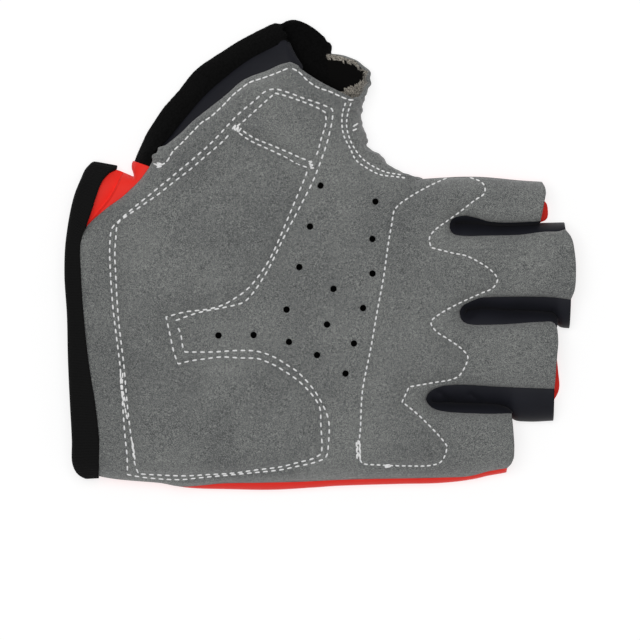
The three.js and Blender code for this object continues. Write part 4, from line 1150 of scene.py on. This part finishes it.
def make_cuff_tape():
    """Ribbed tape folded over the cloth all round the wrist opening."""
    outer_edge, inner_edge = [plan_heights([row[edge] for row in CUFF_RIM]) for edge in ("outer", "inner")]
    below = outer_edge[-2:0:-1] * (1, 1, 0) + (0, 0, CUFF_GROUND_HEIGHT)
    lower_edge, lower_inner = [below + (shift, 0, 0) for shift in CUFF_GROUND_EDGES]
    both = np.hstack([np.vstack([outer_edge, lower_edge]), np.vstack([inner_edge, lower_inner])])
    both = curve(both, 0.4, closed=True)
    ribs = round(length_of(both[:, :3]) / RIB_PITCH)
    both = evenly(both, ribs * RIB_SAMPLES + 1)[:-1]
    edge = both[:, :3]
    inward = both[:, 3:] - edge
    width = np.linalg.norm(inward, axis=1)[:, None]
    inward /= width
    tangent = np.roll(edge, -1, axis=0) - np.roll(edge, 1, axis=0)
    out = np.cross(inward, tangent)
    for _ in range(12):
        out /= np.linalg.norm(out, axis=1)[:, None]
        out = (np.roll(out, 1, axis=0) + out + np.roll(out, -1, axis=0)) / 3
    out /= np.linalg.norm(out, axis=1)[:, None]
    rib = (RIB_DEPTH * np.sin(math.pi * np.arange(len(edge)) / RIB_SAMPLES) ** 2)[:, None]
    outer = CUFF_TAPE_HALF + CUFF_TAPE_WALL
    fold = CUFF_FOLD_SHARE
    reach = fold * width * np.minimum(1, outer / width / fold)
    angles = np.linspace(math.pi / 2, -math.pi / 2, 11)[1:-1]
    rings = [edge + inward * width * s + out * (outer + rib) for s in np.linspace(1, fold, 7)]
    rings += [edge + inward * reach * (1 - math.cos(a)) + out * math.sin(a) * (outer + rib) for a in angles]
    rings += [edge + inward * width * s - out * (outer + rib) for s in np.linspace(fold, 1, 7)]
    rings += [edge + inward * width * s - out * CUFF_TAPE_HALF for s in (1, 0.6, fold)]
    rings += [edge + inward * width * s + out * CUFF_TAPE_HALF for s in (fold, 0.6, 1)]
    grid = np.stack(rings, axis=1)
    count, around = grid.shape[:2]
    i, j = np.meshgrid(np.arange(count), np.arange(around), indexing="ij")
    after_i, after_j = (i + 1) % count, (j + 1) % around
    corners = [i * around + j, after_i * around + j, after_i * around + after_j, i * around + after_j]
    return make_piece("cuff_tape", grid.reshape(-1, 3), [np.stack(corners, -1).reshape(-1, 4)], ["knit"])


def make_pad(node, name):
    """A foam pad from its frame solid, made round and smooth."""
    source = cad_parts[node]
    piece = new_object(name, source.data.copy())
    bpy.context.view_layer.objects.active = piece
    remesh = piece.modifiers.new("even", "REMESH")
    remesh.mode = "VOXEL"
    remesh.voxel_size = 0.9 * MM
    relax = piece.modifiers.new("relax", "SMOOTH")
    relax.factor = 0.5
    relax.iterations = 4
    piece.data = bpy.data.meshes.new_from_object(piece.evaluated_get(bpy.context.evaluated_depsgraph_get()))
    piece.modifiers.clear()
    piece.data.materials.clear()
    piece.data.materials.append(FINISH["foam"])
    piece.data.polygons.foreach_set("use_smooth", np.ones(len(piece.data.polygons), bool))
    return piece


def place(piece, slot, *nodes):
    """Puts a piece on the glove's one body."""
    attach(piece, "root")
    if nodes:
        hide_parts(*nodes)
    return piece


# Camera
CAMERA_HEIGHT = 1.6
FRAME_WIDTH = PHOTO_SIZE * PIXEL * MM
camera = new_object("camera", bpy.data.cameras.new("camera"))
camera.data.lens = camera.data.sensor_width * CAMERA_HEIGHT / FRAME_WIDTH
middle_of_photo = plan([(PHOTO_SIZE / 2, PHOTO_SIZE / 2)])[0] * MM
camera.location = (middle_of_photo[0], middle_of_photo[1], CAMERA_HEIGHT + PALM_HEIGHT * MM)
bpy.context.scene.camera = camera

# Pieces
palm = place(make_palm(), "suede_grey", "palm_panel")
back = place(make_back_lycra(), "stretch_red", "back_panel")
for name, row in FOLDS.items():
    piece = place(make_fourchette(name, row), "stretch_black", name)
band = place(make_band(), "terry_black", "thumb_back")
navy = place(make_navy(), "stretch_navy", "thumb_side")
gusset = place(make_gusset(), "suede_grey", "crotch_gusset")
tape = place(make_cuff_tape(), "knit_black", "cuff_binding")
for node in ("heel_pad", "thumb_pad", "knuckle_pad"):
    pad = place(make_pad(node, node + "_foam"), "foam_grey", node)
for name, rows in SEAM_ROWS.items():
    place(make_stitches("stitches_" + name, rows, *STITCHES[name]), None)
place(make_backtacks(), None)

# Floor and light, in metres and watts
FLOOR_HALF = 3
TABLE_GLOW = 0.72
ROOM_LIGHT = 0.3
SOFTBOX_PLACE = (-0.1, 0.15, 1.4)
SOFTBOX_SIZE = 0.9
SOFTBOX_POWER = 11.5

floor_mesh = bpy.data.meshes.new("floor")
floor_corners = [(FLOOR_HALF * x, FLOOR_HALF * y, 0) for x, y in ((-1, -1), (1, -1), (1, 1), (-1, 1))]
floor_mesh.from_pydata(floor_corners, [], [(0, 1, 2, 3)])
# The table is opal acrylic lit from below, so that it stays white and takes little colour from the glove
light_table = plain_matt("opal_light_table", "#a4a4a4", "#a2a2a2", 8, 0.01, 0.9)
table_shader = light_table.node_tree.nodes["Principled BSDF"]
table_shader.inputs["Emission Color"].default_value = linear("#ffffff")
table_shader.inputs["Emission Strength"].default_value = TABLE_GLOW
floor_mesh.materials.append(light_table)
floor = new_object("floor", floor_mesh)

world = bpy.data.worlds.new("studio")
world.use_nodes = True
background = world.node_tree.nodes["Background"]
background.inputs["Color"].default_value = linear("#ffffff")
background.inputs["Strength"].default_value = ROOM_LIGHT
bpy.context.scene.world = world

light = bpy.data.lights.new("overhead_softbox", "AREA")
light.shape = "SQUARE"
light.size = SOFTBOX_SIZE
light.energy = SOFTBOX_POWER
softbox = new_object("overhead_softbox", light)
softbox.location = SOFTBOX_PLACE
softbox.rotation_euler = (-Vector(SOFTBOX_PLACE)).to_track_quat("-Z", "Y").to_euler()
bpy.context.scene.view_settings.view_transform = "Standard"
